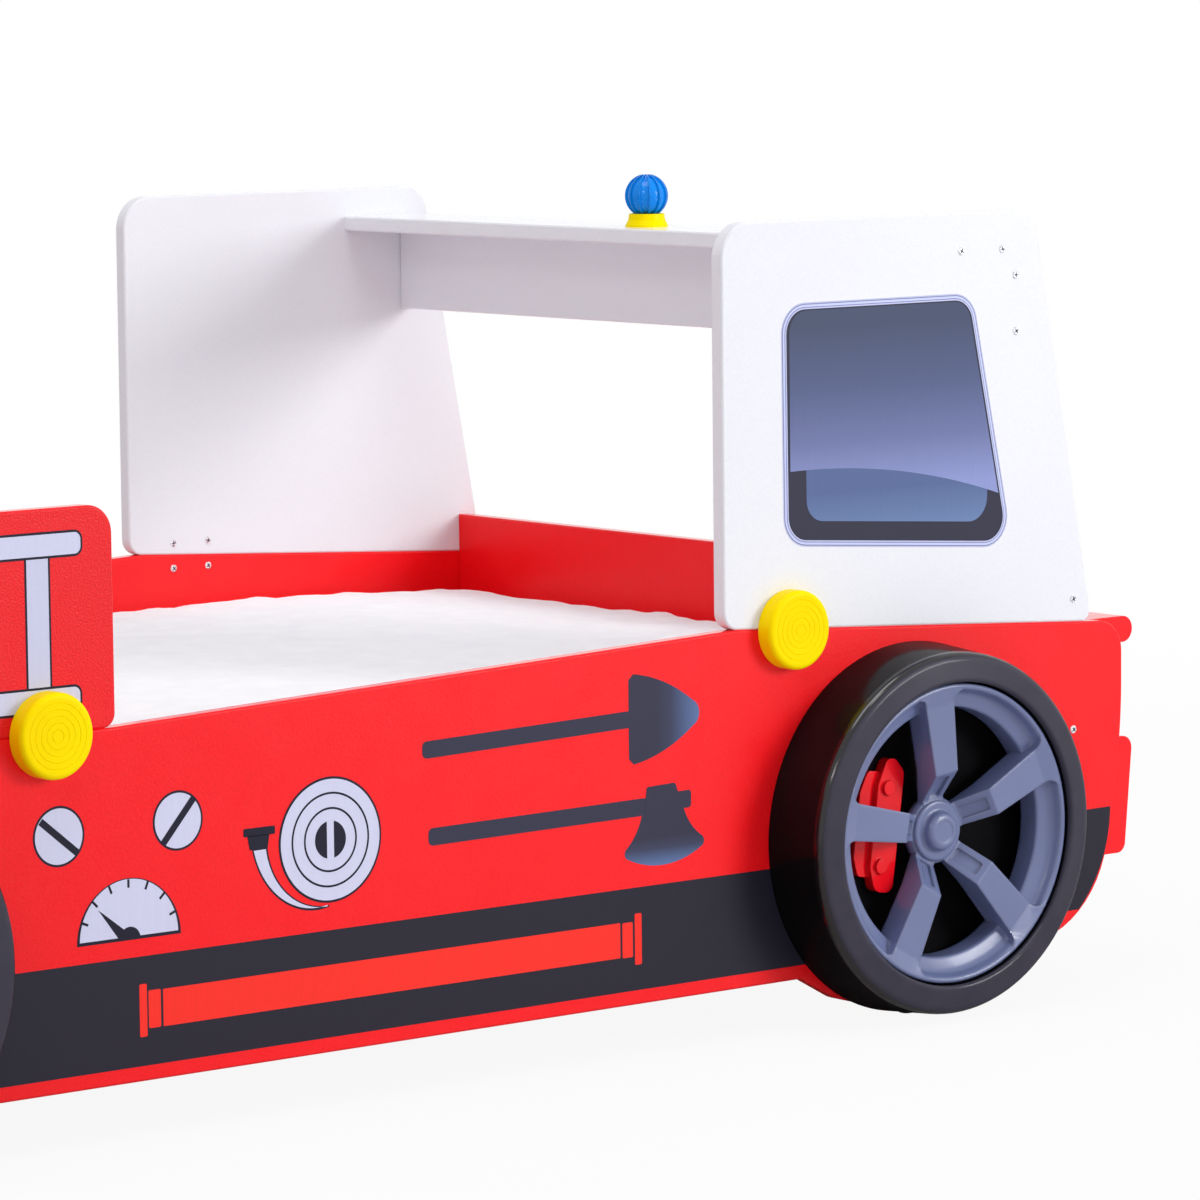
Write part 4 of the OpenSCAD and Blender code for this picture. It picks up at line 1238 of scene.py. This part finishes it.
def fit_plan(piece):
    """Stretches the net to the solid's length and width, because the cloth draws it in."""
    mesh = piece.data
    for axis in range(2):
        places = [vertex.co[axis] for vertex in mesh.vertices]
        low, high = min(places), max(places)
        stretch = (mattress_high[axis] - mattress_low[axis]) / (high - low)
        for vertex in mesh.vertices:
            vertex.co[axis] = mattress_low[axis] + (vertex.co[axis] - low) * stretch


def lumps(point, rates, shift):
    """Soft noise from -1 to 1 at a point, whose lumps come at a rate to the metre along each axis."""
    x, y, z = (place * rate for place, rate in zip(point, rates))
    return noise.noise(Vector((x, y, z + shift)))


def quilt(piece):
    """Presses puffs and waves into the cover, firms up its rim, and keeps it flat where it lies on the slats.

    The photograph shows the top a little lower towards the front board.
    """
    mesh = piece.data
    normals = [vertex.normal.copy() for vertex in mesh.vertices]
    room = Vector((SIDE_ROOM, SIDE_ROOM, 0))
    low = mattress_low - room
    high = mattress_high + room
    for vertex, normal in zip(mesh.vertices, normals):
        p = vertex.co
        upper = max(0.0, min(1.0, (p.z - mattress_low.z - FLAT_UP_TO) / FLAT_FADE))
        from_edge = min(p.x - low.x, high.x - p.x, p.y - low.y, high.y - p.y)
        border = 1 - smooth_step(from_edge, 0, BORDER_WIDTH)
        puff = lumps(p, PUFF_RATES, 5.0)
        wave = lumps(p, WAVE_RATES, 11.0)
        puff_mm = PUFF_MM + (BORDER_PUFF_MM - PUFF_MM) * border
        vertex.co = p + normal * upper * MM * (puff_mm * puff + WAVE_MM * wave)
        dip = smooth_step(vertex.co.x, mattress_high.x - NOSE_DIP_REACH, mattress_high.x)
        vertex.co.z += RIM_LIFT_MM * MM * max(0.0, 1 - from_edge / RIM_REACH) ** RIM_BEND * max(0.0, normal.z)
        vertex.co.z -= NOSE_DIP_MM * MM * upper * dip
        vertex.co.z = max(vertex.co.z, mattress_low.z)
        vertex.co.x = max(low.x, min(high.x, vertex.co.x))
        vertex.co.y = max(low.y, min(high.y, vertex.co.y))
    for polygon in mesh.polygons:
        polygon.use_smooth = True


def settle(piece):
    """Stretches the height from the slats up, so that the top lies on average where it should."""
    mesh = piece.data
    upper = [vertex for vertex in mesh.vertices if vertex.co.z > mattress_middle.z]
    tops = [vertex.co.z for vertex in upper if vertex.normal.z > FACES_UP]
    stretch = (TOP_AT - mattress_low.z) / (sum(tops) / len(tops) - mattress_low.z)
    for vertex in mesh.vertices:
        vertex.co.z = mattress_low.z + (vertex.co.z - mattress_low.z) * stretch
    return stretch


finer(mattress_piece)
fit_plan(mattress_piece)
quilt(mattress_piece)
print("the height is stretched by", round(settle(mattress_piece), 3))
print("the mattress has", len(mattress_piece.data.polygons), "quads")

# %% [markdown]
# The cover is a white knit over a thin quilt. Close up it has a fine weave, and from a step away
# only the soft shade of its puffs shows, partly from their relief and partly painted into the colour,
# darker in their hollows.

# %% Mattress cover
def make_cover():
    finish = Finish("quilted_cover", {"Sheen Weight": 0.25, "Sheen Roughness": 0.5, "Roughness": 0.85,
                                      "Specular IOR Level": 0.2})
    puffs = finish.cloud(38)
    across = finish.cloud(900, 1.0, (1, 0.25, 1))
    along = finish.cloud(900, 1.0, (0.25, 1, 1))
    weave = across * 0.5 + along * 0.5
    # Painted shade: the colour is darker where the puffs' relief is low.
    light = finish.spread(puffs * 0.7 + weave * 0.3, 0.35, 0.65)
    finish.blend(light, tint(240, 241, 245), tint(247, 247, 250))
    finish.wander(weave, 0.86, 0.06)
    finish.bump(puffs * 0.8 + weave * 0.2, 0.9)
    return finish.material


mattress_piece.data.materials.clear()
mattress_piece.data.materials.append(make_cover())
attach(mattress_piece, "mattress")
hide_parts("mattress")
print("the mattress lies from", tuple(round(v, 3) for v in mattress_low), "to",
      tuple(round(v, 3) for v in mattress_high))
